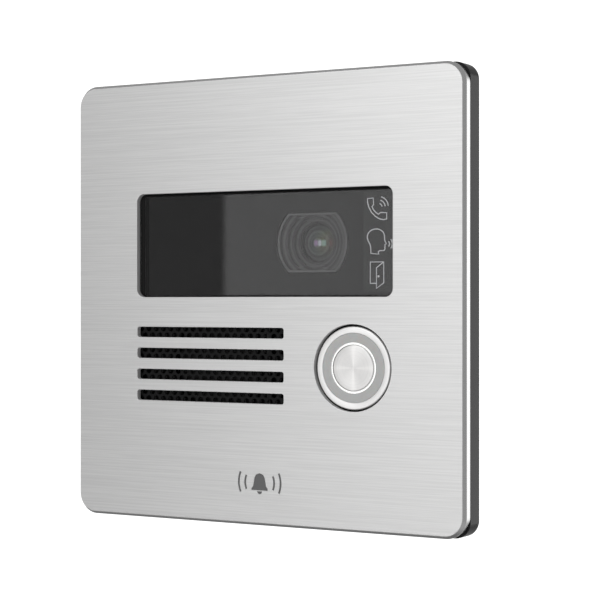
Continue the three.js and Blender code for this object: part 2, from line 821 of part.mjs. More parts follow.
function securityScrew() {
  const low = -panelHeight / 2 + securitySunk;
  const seat = low + securityHeadHigh;
  const high = securityNutZ + securityNut[2] / 2 + contactGap;
  const shank = uprightPin(0, securityY, securityRadius, seat - contactGap, high);
  const socket = new THREE.CylinderGeometry(securityRadius, securityRadius, securityHeadHigh, hexSides);
  socket.rotateX(Math.PI / 2);
  socket.translate(0, securityY, low);
  return uprightPin(0, securityY, securityHead, low, seat).add(shank).subtract(solidOf(socket));
}

function securityNutPlate() {
  const [width, depth, height] = securityNut;
  const [low, high] = [securityNutZ - height, securityNutZ + height];
  const bore = uprightPin(0, securityY, securityRadius + turnedGap, low, high);
  return box(0, securityY, securityNutZ, width, depth, height).subtract(bore);
}

// Speaker and microphone

function speakerMesh() {
  const outline = roundedRectangle(grilleX, grilleZ, meshWidth, meshHeight, windowCorner);
  return slab(outline, meshFrontY, meshBackY);
}

function speakerGasket() {
  const front = meshBackY + contactGap;
  const back = chassisFrontY - contactGap;
  const outer = slab(roundedRectangle(grilleX, grilleZ, meshWidth, meshHeight, windowCorner), front, back);
  const right = speakerX + speakerRadius;
  const left = grilleX - meshWidth / 2 + meshMarginX / 2;
  const dividerEnd = micX - micRadius;
  const end = grilleX + meshWidth / 2 - meshMarginX / 2;
  const height = meshHeight - meshMarginZ;
  const rooms = [[left, right], [dividerEnd, end]].map(([from, to]) => {
    const room = roundedRectangle((from + to) / 2, grilleZ, to - from, height, slotCorner);
    return slab(room, front - cutOver, back + cutOver);
  });
  return cutAll(outer, rooms);
}

function speakerFrame() {
  const inner = basketRadius - speakerWall;
  const outline = [
    [speakerOpening, speakerFrontY],
    [speakerRadius, speakerFrontY],
    [speakerRadius, speakerFrontY + speakerFlange],
    [basketRadius, speakerFrontY + speakerFlange],
    [basketRadius, basketBackY],
    [magnetBore, basketBackY],
    [magnetBore, basketBackY - speakerWall],
    [inner, basketBackY - speakerWall],
    [inner, speakerFrontY + speakerFlange],
    [speakerOpening, speakerFrontY + speakerFlange],
    [speakerOpening, speakerFrontY],
  ];
  return turned(speakerX, grilleZ, outline, plainSides);
}

// The cone hangs from a rolled edge and carries the coil former on its back.
function speakerCone() {
  const edge = basketRadius - speakerWall - looseGap;
  const edgeY = speakerFrontY + speakerFlange + contactGap;
  const deepY = edgeY + coneDeep;
  const former = coneCapRadius + coneThick;
  const formerBackY = basketBackY - contactGap;
  const outline = [
    [0, deepY - coneDeep / 2],
    [coneCapRadius / 2, deepY - coneDeep / 3],
    [coneCapRadius, deepY],
    [edge - coneRoll, edgeY + coneThick / 2],
    [edge, edgeY],
    [edge, edgeY + coneThick],
    [edge - coneRoll, edgeY + 2 * coneThick],
    [former, deepY + coneThick],
    [former, formerBackY],
    [coneCapRadius, formerBackY],
    [coneCapRadius, deepY + 2 * coneThick],
    [0, deepY - coneDeep / 2 + coneThick],
  ];
  return turned(speakerX, grilleZ, outline, plainSides);
}

function speakerMagnet() {
  const front = basketBackY + contactGap;
  return disc(speakerX, grilleZ, magnetRadius, front, front + magnetThick);
}

function microphoneBoot() {
  const back = micFrontY + micSnoutWall + micThick;
  const snout = micPort + micSnoutWall;
  const outline = [
    [micPort, chassisFrontY + contactGap],
    [snout, chassisFrontY + contactGap],
    [snout, micFrontY],
    [micOuter, micFrontY],
    [micOuter, back],
    [micRadius + turnedGap, back],
    [micRadius + turnedGap, micFrontY + micSnoutWall],
    [micPort, micFrontY + micSnoutWall],
    [micPort, chassisFrontY + contactGap],
  ];
  return turned(micX, grilleZ, outline, smallSides);
}

function microphoneCapsule() {
  const front = micFrontY + micSnoutWall + contactGap;
  return disc(micX, grilleZ, micRadius, front, front + micThick, smallSides);
}

// Call button, turned about its own axis

function buttonBezel() {
  const outline = [
    [ringOuter + turnedGap, bezelFrontY],
    [bezelRadius, bezelFrontY],
    [bezelRadius, bezelBackY],
    [barrelRadius, bezelBackY],
    [barrelRadius, barrelBack],
    [barrelRadius - barrelWall, barrelBack],
    [barrelRadius - barrelWall, wellBackY],
    [capStem + turnedGap, wellBackY],
    [capStem + turnedGap, wellFloorY],
    [collarInner, wellFloorY],
    [collarInner, shelfY],
    [ringOuter + turnedGap, shelfY],
    [ringOuter + turnedGap, bezelFrontY],
  ];
  return turned(0, 0, outline, roundSides);
}

function bezelGasket() {
  const front = bezelBackY + contactGap;
  const [inner, outer] = [barrelRadius + turnedGap, bezelRadius - turnedGap];
  return ring(0, 0, inner, outer, front, front + bezelSealThick, plainSides);
}

function buttonNut() {
  const front = chassisFloorY + contactGap;
  const back = front + buttonNutThick;
  const bore = disc(0, 0, barrelRadius + turnedGap, front - cutOver, back + cutOver, roundSides);
  return hexPrism(buttonNutFlats, front, back).subtract(bore);
}

function guideCollar() {
  return ring(0, 0, collarInner, collarInner + collarWall, bezelFrontY, shelfY - contactGap);
}

function ledRing() {
  const front = bezelFrontY + ringRecess;
  return ring(0, 0, ringInner, ringOuter, front, front + ringThick);
}

function ringBoard() {
  const back = shelfY - contactGap;
  return ring(0, 0, ringInner, ringOuter, back - ringBoardThick, back, plainSides);
}

// The cap has a groove for its seal and a stem with a groove for its clip.
function buttonCap() {
  const grooveFloor = capRadius - capGroove;
  const grooveFront = (capFrontY + capBackY - capGrooveWide) / 2;
  const neck = capStem - collarWall;
  const outline = [
    [0, capFrontY],
    [capRadius, capFrontY],
    [capRadius, grooveFront],
    [grooveFloor, grooveFront],
    [grooveFloor, grooveFront + capGrooveWide],
    [capRadius, grooveFront + capGrooveWide],
    [capRadius, capBackY],
    [capStem, capBackY],
    [capStem, clipFrontY - contactGap],
    [neck, clipFrontY - contactGap],
    [neck, clipFrontY + clipThick + contactGap],
    [capStem, clipFrontY + clipThick + contactGap],
    [capStem, stemBackY],
    [0, stemBackY],
  ];
  return turned(0, 0, outline, roundSides);
}

function buttonSeal() {
  const middle = (capFrontY + capBackY) / 2;
  const half = capGrooveWide / 2 - contactGap;
  const inner = capRadius - capGroove + contactGap;
  return ring(0, 0, inner, capRadius + contactGap / 2, middle - half, middle + half);
}

function retainingClip() {
  const inner = capStem - collarWall + contactGap;
  const clip = ring(0, 0, inner, clipRadius, clipFrontY, clipFrontY + clipThick, plainSides);
  const [before, behind] = [clipFrontY - cutOver, clipFrontY + clipThick + cutOver];
  return clip.subtract(boxFrom(clipRadius / 2, before, behind, 0, clipRadius, capStem));
}

class Coil extends THREE.Curve {
  getPoint(share, target = new THREE.Vector3()) {
    const turn = share * springTurns * 2 * Math.PI;
    const low = wellFloorY - contactGap - springWire / 2;
    const high = capBackY + contactGap + springWire / 2;
    const y = low + (high - low) * share;
    return target.set(springRadius * Math.cos(turn), y, springRadius * Math.sin(turn));
  }
}

function returnSpring() {
  const section = new THREE.Shape();
  section.absarc(0, 0, springWire / 2, 0, 2 * Math.PI);
  return solidOf(new THREE.ExtrudeGeometry(section, {
    steps: springTurns * springStepsPerTurn,
    extrudePath: new Coil(),
    curveSegments: springArc,
    bevelEnabled: false,
  }));
}

function buttonSwitch() {
  const [width, depth, height] = switchBody;
  const bodyFront = plungerFrontY + looseGap;
  const plunger = disc(0, 0, switchPlunger, plungerFrontY, bodyFront + depth / 2, smallSides);
  return boxFrom(0, bodyFront, bodyFront + depth, 0, width, height).add(plunger);
}

function buttonBoard() {
  const front = plungerFrontY + looseGap + switchBody[1] + contactGap;
  const radius = barrelRadius - barrelWall - looseGap;
  return disc(0, 0, radius, front, front + buttonBoardThick);
}

// Rear housing and electronics

function rearHousing() {
  const flange = roundedRectangle(0, housingZ, flangeWidth, flangeHeight, housingCorner);
  const outer = roundedRectangle(0, housingZ, housingWidth, housingHeight, housingCorner);
  const innerWidth = housingWidth - 2 * housingWall;
  const innerHeight = housingHeight - 2 * housingWall;
  const inner = roundedRectangle(0, housingZ, innerWidth, innerHeight, housingCorner - housingWall);
  const shell = slab(flange, flangeFrontY, flangeBackY).add(slab(outer, flangeFrontY, housingBackY));
  const behind = housingBackY + cutOver;
  const hollow = shell.subtract(slab(inner, flangeFrontY - cutOver, housingInnerY));
  const through = housingInnerY - cutOver;
  const [jackWide, jackHigh] = jackSize.map((size) => size + 2 * looseGap);
  const [headerWide, headerHigh] = headerSize.map((size) => size + 2 * looseGap);
  const label = roundedRectangle(0, labelZ, labelSize[0], labelSize[1], slotCorner);
  const cut = cutAll(hollow, [
    ...rearScrews.map(([x, z]) => turned(x, z, screwRoom(), smallSides)),
    boxFrom(jackAt[0], through, behind, jackAt[1], jackWide, jackHigh),
    boxFrom(headerAt[0], through, behind, headerAt[1], headerWide, headerHigh),
    disc(resetAt[0], resetAt[1], resetRadius + 2 * looseGap, through, behind, plainSides),
    slab(label, housingBackY - labelDeep, behind),
    ...sideGrooves(),
  ]);
  const legRootY = housingInnerY + housingWall / 2;
  const legs = posts.map(([x, z]) => disc(x, z, postRadius, partsFrontY, legRootY, smallSides));
  const pinTipY = boardFrontY - looseGap;
  const pins = posts.map(([x, z]) => disc(x, z, postPin, pinTipY, housingInnerY, smallSides));
  return joinAll([cut, ...legs, ...pins]);
}

// Shallow grooves along both sides of the housing, by which it is gripped.
function sideGrooves() {
  const grooves = [];
  for (const side of [-1, 1]) {
    for (let i = 0; i < ribCount; i += 1) {
      const y = housingBackY - housingCorner - i * ribPitch;
      const high = housingHeight - 4 * housingCorner;
      grooves.push(box(side * housingWidth / 2, y, housingZ, 2 * ribDeep, ribWide, high));
    }
  }
  return grooves;
}

// Room for a countersunk screw whose head is flush with the back of the flange.
function screwRoom() {
  const shank = rearScrewRadius + turnedGap;
  const head = rearScrewHead + turnedGap;
  const coneY = flangeBackY - (rearScrewHead - rearScrewRadius);
  return [
    [0, flangeFrontY - cutOver],
    [shank, flangeFrontY - cutOver],
    [shank, coneY],
    [head, flangeBackY],
    [head, flangeBackY + cutOver],
    [0, flangeBackY + cutOver],
  ];
}

function rearScrew() {
  const tip = chassisFloorY - rearScrewLength / 2;
  const coneY = flangeBackY - (rearScrewHead - rearScrewRadius);
  const outline = [
    [0, tip],
    [rearScrewRadius, tip],
    [rearScrewRadius, coneY],
    [rearScrewHead, flangeBackY],
    [0, flangeBackY],
  ];
  const socket = hexPrism(rearScrewHead, coneY, flangeBackY + cutOver);
  return turned(0, 0, outline, smallSides).subtract(socket);
}

function rearSeal() {
  const wide = flangeWidth - 2 * sealGrip;
  const high = flangeHeight - 2 * sealGrip;
  const innerWide = housingWidth - 2 * housingWall + 2 * sealGrip;
  const innerHigh = housingHeight - 2 * housingWall + 2 * sealGrip;
  const back = sealFrontY + sealThick;
  const holes = rearScrews.map(([x, z]) => (
    disc(x, z, rearScrewRadius + turnedGap, sealFrontY - cutOver, back + cutOver, smallSides)
  ));
  const outer = roundedRectangle(0, housingZ, wide, high, housingCorner);
  const inner = roundedRectangle(0, housingZ, innerWide, innerHigh, housingWall);
  return cutAll(slab(outer, sealFrontY, back), [
    slab(inner, sealFrontY - cutOver, back + cutOver),
    ...holes,
  ]);
}

function mainBoard() {
  const outline = roundedRectangle(0, housingZ, boardWidth, boardHeight, housingWall);
  const board = slab(outline, boardFrontY, boardBackY);
  return cutAll(board, posts.map(([x, z]) => (
    disc(x, z, postPin + turnedGap, boardFrontY - cutOver, boardBackY + cutOver, smallSides)
  )));
}

function processor() {
  const back = boardFrontY - contactGap;
  const [x, z] = processorAt;
  return boxFrom(x, back - processorSize[1], back, z, processorSize[0], processorSize[2]);
}

// A plain block on the back of the main board.
function boardBlock([x, z], [width, depth, height]) {
  return boxFrom(x, partsFrontY, partsFrontY + depth, z, width, height);
}

function networkJack() {
  const [x, z] = jackAt;
  const mouth = housingBackY + connectorProud;
  const latchZ = z - jackSocket[1] / 2;
  return cutAll(boxFrom(x, partsFrontY, mouth, z, jackSize[0], jackSize[1]), [
    boxFrom(x, mouth - jackSocketDeep, mouth + cutOver, z, jackSocket[0], jackSocket[1]),
    boxFrom(x, mouth - jackSocketDeep, mouth + cutOver, latchZ, jackLatch[0], 2 * jackLatch[1]),
  ]);
}

function terminalHeader() {
  const [x, z] = headerAt;
  const mouth = housingBackY + connectorProud;
  const floorY = mouth - headerSocketDeep;
  const roomWidth = headerSize[0] - 2 * headerWall;
  const roomHeight = headerSize[1] - 2 * headerWall;
  const shell = boxFrom(x, partsFrontY, mouth, z, headerSize[0], headerSize[1]);
  const hollow = shell.subtract(boxFrom(x, floorY, mouth + cutOver, z, roomWidth, roomHeight));
  const pitch = roomWidth / headerPins;
  const pins = [];
  for (let i = 0; i < headerPins; i += 1) {
    const pinX = x + (i - (headerPins - 1) / 2) * pitch;
    pins.push(boxFrom(pinX, floorY - headerPin, floorY + headerPinHigh, z, headerPin, headerPin));
  }
  return joinAll([hollow, ...pins]);
}

const resetFloorY = partsFrontY + resetBody[1] / 2;

function resetSwitchBody() {
  const [x, z] = resetAt;
  const back = partsFrontY + resetBody[1] + cutOver;
  const well = disc(x, z, resetRadius + turnedGap, resetFloorY, back, smallSides);
  return boardBlock(resetAt, resetBody).subtract(well);
}

function resetButton() {
  const front = resetFloorY + resetTravel + contactGap;
  return disc(0, 0, resetRadius, front, housingBackY - resetSunk, smallSides);
}

// Wall bracket

function wallBracket() {
  const outline = roundedRectangle(0, 0, bracketWidth, bracketHeight, bracketCorner);
  const openLow = housingZ - housingHeight / 2 - swingDrop;
  const openHigh = housingZ + housingHeight / 2 + swingRoom;
  const openWidth = housingWidth + 2 * openingGap;
  const openZ = (openLow + openHigh) / 2;
  const openShape = roundedRectangle(0, openZ, openWidth, openHigh - openLow, housingCorner);
  const opening = slab(openShape, -bracketSheet - cutOver, cutOver, fineArc);
  const sheet = slab(outline, -bracketSheet, 0, fineArc).subtract(opening);

  const slots = [];
  for (const [x, z] of corners(wallScrewX, wallScrewZ)) {
    const wide = 2 * (wallScrewRadius + looseGap);
    const shape = roundedRectangle(x, z, wide, wallSlotLength, wide / 2 - arcGap);
    slots.push(slab(shape, -bracketSheet - cutOver, cutOver, fineArc));
  }
  const [lightWide, lightHigh] = lightSlot;
  for (const x of [-lightSlotX, lightSlotX]) {
    const z = lightSlotInset - bracketHeight / 2;
    const shape = roundedRectangle(x, z, lightWide, lightHigh, lightHigh / 2 - arcGap);
    slots.push(slab(shape, -bracketSheet - cutOver, cutOver, fineArc));
  }

  const hookFrontY = pivotY - hookThick / 2;
  const footLowZ = pivotZ - hookFoot;
  const footHighZ = footLowZ + hookThick;
  const tipZ = pivotZ + hookTip;
  const hooks = [];
  for (const side of [-1, 1]) {
    const x = side * hookSpacing / 2;
    const rootLowZ = bracketHeight / 2 - cutOver;
    hooks.push(boxFrom(x, -bracketSheet, 0, (rootLowZ + footHighZ) / 2, hookWidth, footHighZ - rootLowZ));
    hooks.push(boxFrom(x, hookFrontY, 0, (footLowZ + footHighZ) / 2, hookWidth, hookThick));
    const blade = [(footLowZ + tipZ) / 2, hookWidth, tipZ - footLowZ];
    hooks.push(boxFrom(x, hookFrontY, hookFrontY + hookThick, ...blade));
  }

  const ledgeFrontY = chassisFloorY + looseGap;
  const ledgeZ = ledgeLowZ + ledgeThick / 2;
  const ledge = boxFrom(0, ledgeFrontY, 0, ledgeZ + contactGap, ledgeWidth, ledgeThick + 2 * contactGap);
  const notch = securityRadius + looseGap;
  const body = joinAll([cutAll(sheet, slots), ...hooks, ledge]);
  return cutAll(body, [
    uprightPin(0, securityY, notch, ledgeLowZ - cutOver, ledgeLowZ + 2 * ledgeThick),
    boxFrom(0, ledgeFrontY - cutOver, securityY, ledgeZ, 2 * notch, 4 * ledgeThick),
  ]);
}

function wallScrew() {
  const seat = -bracketSheet - contactGap;
  const tip = seat + wallScrewLength;
  const outline = [
    [0, seat - wallScrewHeadHigh],
    [wallScrewHead * wallScrewTopShare, seat - wallScrewHeadHigh],
    [wallScrewHead, seat - wallScrewHeadHigh / 2],
    [wallScrewHead, seat],
    [wallScrewRadius, seat],
    [wallScrewRadius, tip - wallScrewTip],
    [0, tip],
  ];
  const top = seat - wallScrewHeadHigh;
  const deep = wallScrewHeadHigh * wallScrewCrossShare;
  const crossX = boxFrom(0, top - cutOver, top + deep, 0, wallScrewHead, wallScrewRadius / 2);
  const crossZ = boxFrom(0, top - cutOver, top + deep, 0, wallScrewRadius / 2, wallScrewHead);
  return cutAll(turned(0, 0, outline, smallSides), [crossX, crossZ]);
}

// The assembly

const group = new THREE.Group();
const frontUnit = new THREE.Group();
const camera = new THREE.Group();
const callButton = new THREE.Group();
const bracket = new THREE.Group();
camera.position.set(cameraX, 0, cameraZ);
callButton.position.set(buttonX, 0, buttonZ);
frontUnit.add(camera, callButton);
group.add(frontUnit, bracket);

part(frontUnit, 'front_plate', frontPlate(), brushedSteel);
part(frontUnit, 'window', windowPane(), smokedGlass);
part(frontUnit, 'window_gasket', windowGasket(), blackRubber);
part(frontUnit, 'camera_carrier', cameraCarrier(), blackPlastic);
part(frontUnit, 'icon_light_guide', iconLightGuide(), clearPlastic);
part(frontUnit, 'camera_flex_cable', cameraFlexCable(), flexOrange);
part(frontUnit, 'chassis', chassis(), blackPlastic);
studs.forEach(([x, z], i) => part(frontUnit, `plate_nut_${i + 1}`, plateNut(), zincSteel, [x, 0, z]));

part(camera, 'lens_hood', lensHood(), greyPlastic);
part(camera, 'lens_barrel', lensBarrel(), blackPlastic);
part(camera, 'lens_front_element', lensFrontElement(), lensGlass);
part(camera, 'lens_rear_element', lensRearElement(), lensGlass);
part(camera, 'camera_housing', cameraHousing(), darkSteel);
part(camera, 'camera_board', cameraBoard(), boardGreen);
part(camera, 'image_sensor', imageSensor(), darkSteel);
cameraScrews.forEach(([x, z], i) => {
  part(camera, `camera_screw_${i + 1}`, cameraScrew(), zincSteel, [x, 0, z]);
});

part(frontUnit, 'speaker_mesh', speakerMesh(), blackPlastic);
part(frontUnit, 'speaker_gasket', speakerGasket(), blackRubber);
part(frontUnit, 'speaker_frame', speakerFrame(), darkSteel);
part(frontUnit, 'speaker_cone', speakerCone(), paperCone);
part(frontUnit, 'speaker_magnet', speakerMagnet(), darkSteel);
part(frontUnit, 'microphone_boot', microphoneBoot(), blackRubber);
part(frontUnit, 'microphone_capsule', microphoneCapsule(), zincSteel);

part(callButton, 'button_bezel', buttonBezel(), brushedSteel);
part(callButton, 'bezel_gasket', bezelGasket(), blackRubber);
part(callButton, 'button_nut', buttonNut(), zincSteel);
part(callButton, 'guide_collar', guideCollar(), brushedSteel);
part(callButton, 'button_led_ring', ledRing(), lightGuide);
part(callButton, 'led_ring_board', ringBoard(), boardGreen);
part(callButton, 'button_cap', buttonCap(), brushedSteel);
part(callButton, 'button_seal', buttonSeal(), blackRubber);
part(callButton, 'button_clip', retainingClip(), zincSteel);
part(callButton, 'return_spring', returnSpring(), zincSteel);
part(callButton, 'button_switch', buttonSwitch(), blackPlastic);
part(callButton, 'button_board', buttonBoard(), boardGreen);

part(frontUnit, 'main_board', mainBoard(), boardGreen);
part(frontUnit, 'processor', processor(), blackPlastic);
part(frontUnit, 'network_transformer', boardBlock(transformerAt, transformerSize), blackPlastic);
part(frontUnit, 'relay', boardBlock(relayAt, relaySize), blackPlastic);
part(frontUnit, 'network_jack', networkJack(), zincSteel);
part(frontUnit, 'io_terminal_header', terminalHeader(), greyPlastic);
part(frontUnit, 'reset_switch_body', resetSwitchBody(), blackPlastic);
part(frontUnit, 'reset_button', resetButton(), greyPlastic, [resetAt[0], 0, resetAt[1]]);
part(frontUnit, 'rear_housing', rearHousing(), blackPlastic);
part(frontUnit, 'rear_seal', rearSeal(), blackRubber);
rearScrews.forEach(([x, z], i) => {
  part(frontUnit, `rear_screw_${i + 1}`, rearScrew(), zincSteel, [x, 0, z]);
});
part(frontUnit, 'security_screw', securityScrew(), darkSteel);
part(frontUnit, 'security_nut', securityNutPlate(), zincSteel);

part(bracket, 'wall_bracket', wallBracket(), zincSteel);
corners(wallScrewX, wallScrewZ).forEach(([x, z], i) => {
  part(bracket, `wall_screw_${i + 1}`, wallScrew(), gold, [x, 0, z]);
});

export default group;
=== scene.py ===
import json
import math

import bmesh
import bpy
from mathutils import Matrix, Vector
from mathutils.geometry import tessellate_polygon


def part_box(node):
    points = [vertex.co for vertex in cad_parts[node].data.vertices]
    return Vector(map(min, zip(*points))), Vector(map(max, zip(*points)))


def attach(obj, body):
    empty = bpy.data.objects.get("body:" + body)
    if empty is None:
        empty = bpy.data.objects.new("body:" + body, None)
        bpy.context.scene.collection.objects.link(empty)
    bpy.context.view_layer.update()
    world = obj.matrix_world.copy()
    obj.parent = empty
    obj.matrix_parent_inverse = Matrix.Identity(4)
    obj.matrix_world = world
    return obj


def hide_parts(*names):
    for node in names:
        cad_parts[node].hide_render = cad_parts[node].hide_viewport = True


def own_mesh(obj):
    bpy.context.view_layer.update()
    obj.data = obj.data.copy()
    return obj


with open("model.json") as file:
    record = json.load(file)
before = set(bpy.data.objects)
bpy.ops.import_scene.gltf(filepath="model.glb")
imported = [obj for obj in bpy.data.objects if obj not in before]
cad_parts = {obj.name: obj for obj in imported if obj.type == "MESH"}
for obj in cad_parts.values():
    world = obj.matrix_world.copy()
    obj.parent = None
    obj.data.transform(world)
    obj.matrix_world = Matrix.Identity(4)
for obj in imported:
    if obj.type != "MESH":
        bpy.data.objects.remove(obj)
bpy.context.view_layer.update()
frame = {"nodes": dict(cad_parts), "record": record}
print("frame loaded:", len(frame["nodes"]), "nodes")

mm = 0.001


class Wire:  # a socket, so that sums on values add Math nodes
    def __init__(self, paint, socket):
        self.paint, self.socket = paint, socket

    def __add__(self, other):
        return self.paint.maths("ADD", self, other)

    def __sub__(self, other):
        return self.paint.maths("SUBTRACT", self, other)

    def __rsub__(self, other):
        return self.paint.maths("SUBTRACT", other, self)

    def __mul__(self, other):
        return self.paint.maths("MULTIPLY", self, other)

    def __pow__(self, other):
        return self.paint.maths("POWER", self, other)

    def __abs__(self):
        return self.paint.maths("ABSOLUTE", self, 0)

    __radd__ = __add__
    __rmul__ = __mul__


class Paint:  # the node tree of a material or of the world
    def __init__(self, owner, coordinates="Object"):
        owner.use_nodes = True
        self.owner, self.tree = owner, owner.node_tree
        self.tree.nodes.clear()
        self.place = self.node("ShaderNodeTexCoord", output=coordinates)

    def node(self, kind, settings=None, inputs=None, output=0):
        made = self.tree.nodes.new(kind)
        for key, value in (settings or {}).items():
            if key == "stops":
                while len(made.color_ramp.elements) < len(value):
                    made.color_ramp.elements.new(1)
                for element, (position, color) in zip(made.color_ramp.elements, value):
                    element.position, element.color = position, (*color, 1)
            else:
                setattr(made, key, value)
        for key, value in (inputs or {}).items():
            if isinstance(value, Wire):
                self.tree.links.new(value.socket, made.inputs[key])
            else:
                made.inputs[key].default_value = value
        return Wire(self, made.outputs[output]) if len(made.outputs) else None

    def maths(self, operation, first, second):
        return self.node("ShaderNodeMath", {"operation": operation}, {0: first, 1: second})

    def axes(self):
        return [self.node("ShaderNodeSeparateXYZ", None, {0: self.place}, i) for i in range(3)]

    def stretched(self, scale):
        return self.node("ShaderNodeVectorMath", {"operation": "MULTIPLY"}, {0: self.place, 1: scale})

    def noise(self, scale, detail=2.0):
        return self.node("ShaderNodeTexNoise", None, {
            "Vector": self.stretched(scale), "Scale": 1.0, "Detail": detail})

    def rings(self, middle=(0, 0), flat="xy"):
        first, second = [self.axes()["xyz".index(letter)] - at for letter, at in zip(flat, middle)]
        return (first * first + second * second) ** 0.5

    def noiseAlong(self, value, detail=2.0):
        return self.node("ShaderNodeTexNoise", {"noise_dimensions": "1D"}, {
            "W": value, "Scale": 1.0, "Detail": detail})

    def cells(self, scale):
        return self.node("ShaderNodeTexVoronoi", None, {
            "Vector": self.stretched(scale), "Scale": 1.0}, "Color")

    def step(self, value, low, high):  # 0 below low, 1 above high, soft between them
        return self.node("ShaderNodeMapRange", {"interpolation_type": "SMOOTHSTEP"}, {
            "Value": value, "From Min": low, "From Max": high})

    def between(self, value, low, high, soft):
        return self.step(value, low - soft, low + soft) * (1 - self.step(value, high - soft, high + soft))

    def mix(self, factor, first, second):
        first = first if isinstance(first, Wire) else (*first, 1)
        second = second if isinstance(second, Wire) else (*second, 1)
        return self.node("ShaderNodeMix", {"data_type": "RGBA"}, {0: factor, 6: first, 7: second}, 2)

    def bump(self, height, strength, distance):
        return self.node("ShaderNodeBump", None, {
            "Height": height, "Strength": strength, "Distance": distance})

    def surface(self, sockets):
        shader = self.node("ShaderNodeBsdfPrincipled", None, sockets)
        self.node("ShaderNodeOutputMaterial", None, {"Surface": shader})
        return self.owner


def paintFor(name):
    return Paint(bpy.data.materials.new(name))


# Finishes

brushedSteel = {
    "dark": (0.69, 0.69, 0.688), "light": (0.77, 0.77, 0.768), "streak": (22, 700, 2400),
    "hair": (90, 2500, 9000), "cutEdge": (0.62, 0.62, 0.62), "side": (0.78, 0.78, 0.78),
    # the darkest rim tone is painted shade for the lower chamfer, faded in towards the bottom
    "paintedShadeLowEdge": (0.26, 0.26, 0.262), "wall": (0.62, 0.62, 0.62), "etched": (0.17, 0.17, 0.172),
    "rough": 0.44, "roughSpread": 0.05, "cutRough": 0.22, "wallRough": 0.6, "anisotropic": 0.72,
    "edgeWide": 5.0 * mm, "paintedShadeFade": (4.2 * mm, 1.5 * mm), "chamfer": 1.0 * mm,
    "cutDeep": (0.09 * mm, 0.12 * mm), "markDeep": (0.04 * mm, 0.05 * mm), "markHalf": (8 * mm, 4 * mm),
    "markZ": -48.5 * mm, "soft": 0.1 * mm,
}


def paintBrushedSteel():  # its rim, its cut-outs' walls and its etched sign each have their own tone, and the rim's lower chamfer is darkened with painted shade
    own, paint = brushedSteel, paintFor("brushedSteel")
    plateLow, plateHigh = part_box("front_plate")
    x, y, z = paint.axes()
    depth = y - plateLow.y
    grain = 0.55 * paint.noise(own["streak"], 3) + 0.45 * paint.noise(own["hair"], 2)
    halfX, halfZ = own["markHalf"]
    inMark = paint.between(x, -halfX, halfX, own["soft"])
    inMark *= paint.between(z, own["markZ"] - halfZ, own["markZ"] + halfZ, own["soft"])
    etched = inMark * paint.step(depth, *own["markDeep"])
    cut = paint.step(depth, *own["cutDeep"])
    border = plateHigh.x - own["edgeWide"]
    reach = paint.maths("MAXIMUM", abs(x), abs(z))
    rim = cut * paint.step(reach, border, border + own["soft"])
    wall = cut * (1 - rim)
    side = paint.step(depth, own["chamfer"] - 0.5 * own["soft"], own["chamfer"] + 0.5 * own["soft"])
    fadeFrom, fadeTo = own["paintedShadeFade"]
    # painted shade: the rim's chamfer gets darker towards the plate's bottom
    low = 1 - paint.step(z, -border - fadeFrom, -border - fadeTo)
    color = paint.mix(paint.step(grain, 0.36, 0.64), own["dark"], own["light"])
    chamferWithShade = paint.mix(low, own["cutEdge"], own["paintedShadeLowEdge"])
    color = paint.mix(rim, color, paint.mix(side, chamferWithShade, own["side"]))
    color = paint.mix(wall, color, own["wall"])
    color = paint.mix(etched, color, own["etched"])
    rough = own["rough"] + own["roughSpread"] * (grain - 0.5)
    rough = rough * (1 - cut) + own["cutRough"] * rim + own["wallRough"] * wall
    return paint.surface({
        "Base Color": color, "Metallic": 1 - 0.6 * etched - 0.85 * wall, "Roughness": rough + 0.2 * etched,
        "Anisotropic": own["anisotropic"], "Anisotropic Rotation": 0.25,
        "Normal": paint.bump(grain, 0.02, 0.01 * mm)})


spunSteel = {
    "dark": (0.69, 0.685, 0.68), "light": (0.86, 0.85, 0.84), "ringsPerMetre": 5200, "rough": 0.30,
    "anisotropic": 0.75, "paintedCross": 0.5, "paintedCrossSharp": 22.0,
}


def paintSpunSteel(name="spunSteel", own=spunSteel):  # for a piece turned about its own Z, with a painted cross-shaped highlight in its colour
    paint = paintFor(name)
    x, y = paint.axes()[:2]
    angle = paint.maths("ARCTAN2", y, x)
    turned = paint.noiseAlong(paint.rings() * own["ringsPerMetre"], 3)
    fans = paint.noiseAlong(angle * 6.0, 2)
    # painted highlight: four lighter rays across the turned face
    paintedCross = abs(paint.maths("COSINE", angle * 2.0, 0)) ** own["paintedCrossSharp"]
    tone = 0.5 * paint.step(turned, 0.35, 0.65) + 0.2 * fans + own["paintedCross"] * paintedCross
    return paint.surface({
        "Base Color": paint.mix(tone, own["dark"], own["light"]), "Metallic": 1.0,
        "Roughness": own["rough"] + 0.1 * (turned - 0.5), "Anisotropic": own["anisotropic"],
        "Anisotropic Rotation": 0.25, "Normal": paint.bump(turned, 0.08, 0.02 * mm)})


def paintSheetMetal(name, dark, light, rough, spangle, scratch=0.3):
    paint = paintFor(name)
    flake = paint.node("ShaderNodeSeparateColor", None, {0: paint.cells((spangle,) * 3)})
    cloud = paint.noise((90, 90, 90), 4)
    line = paint.noise((3000, 260, 260), 2)
    tone = 0.5 * flake + 0.5 * cloud
    return paint.surface({
        "Base Color": paint.mix(tone, dark, light), "Metallic": 1.0,
        "Roughness": rough + 0.16 * (flake - 0.5) + 0.12 * (cloud - 0.5),
        "Normal": paint.bump(line + 0.4 * flake, scratch, 0.01 * mm)})


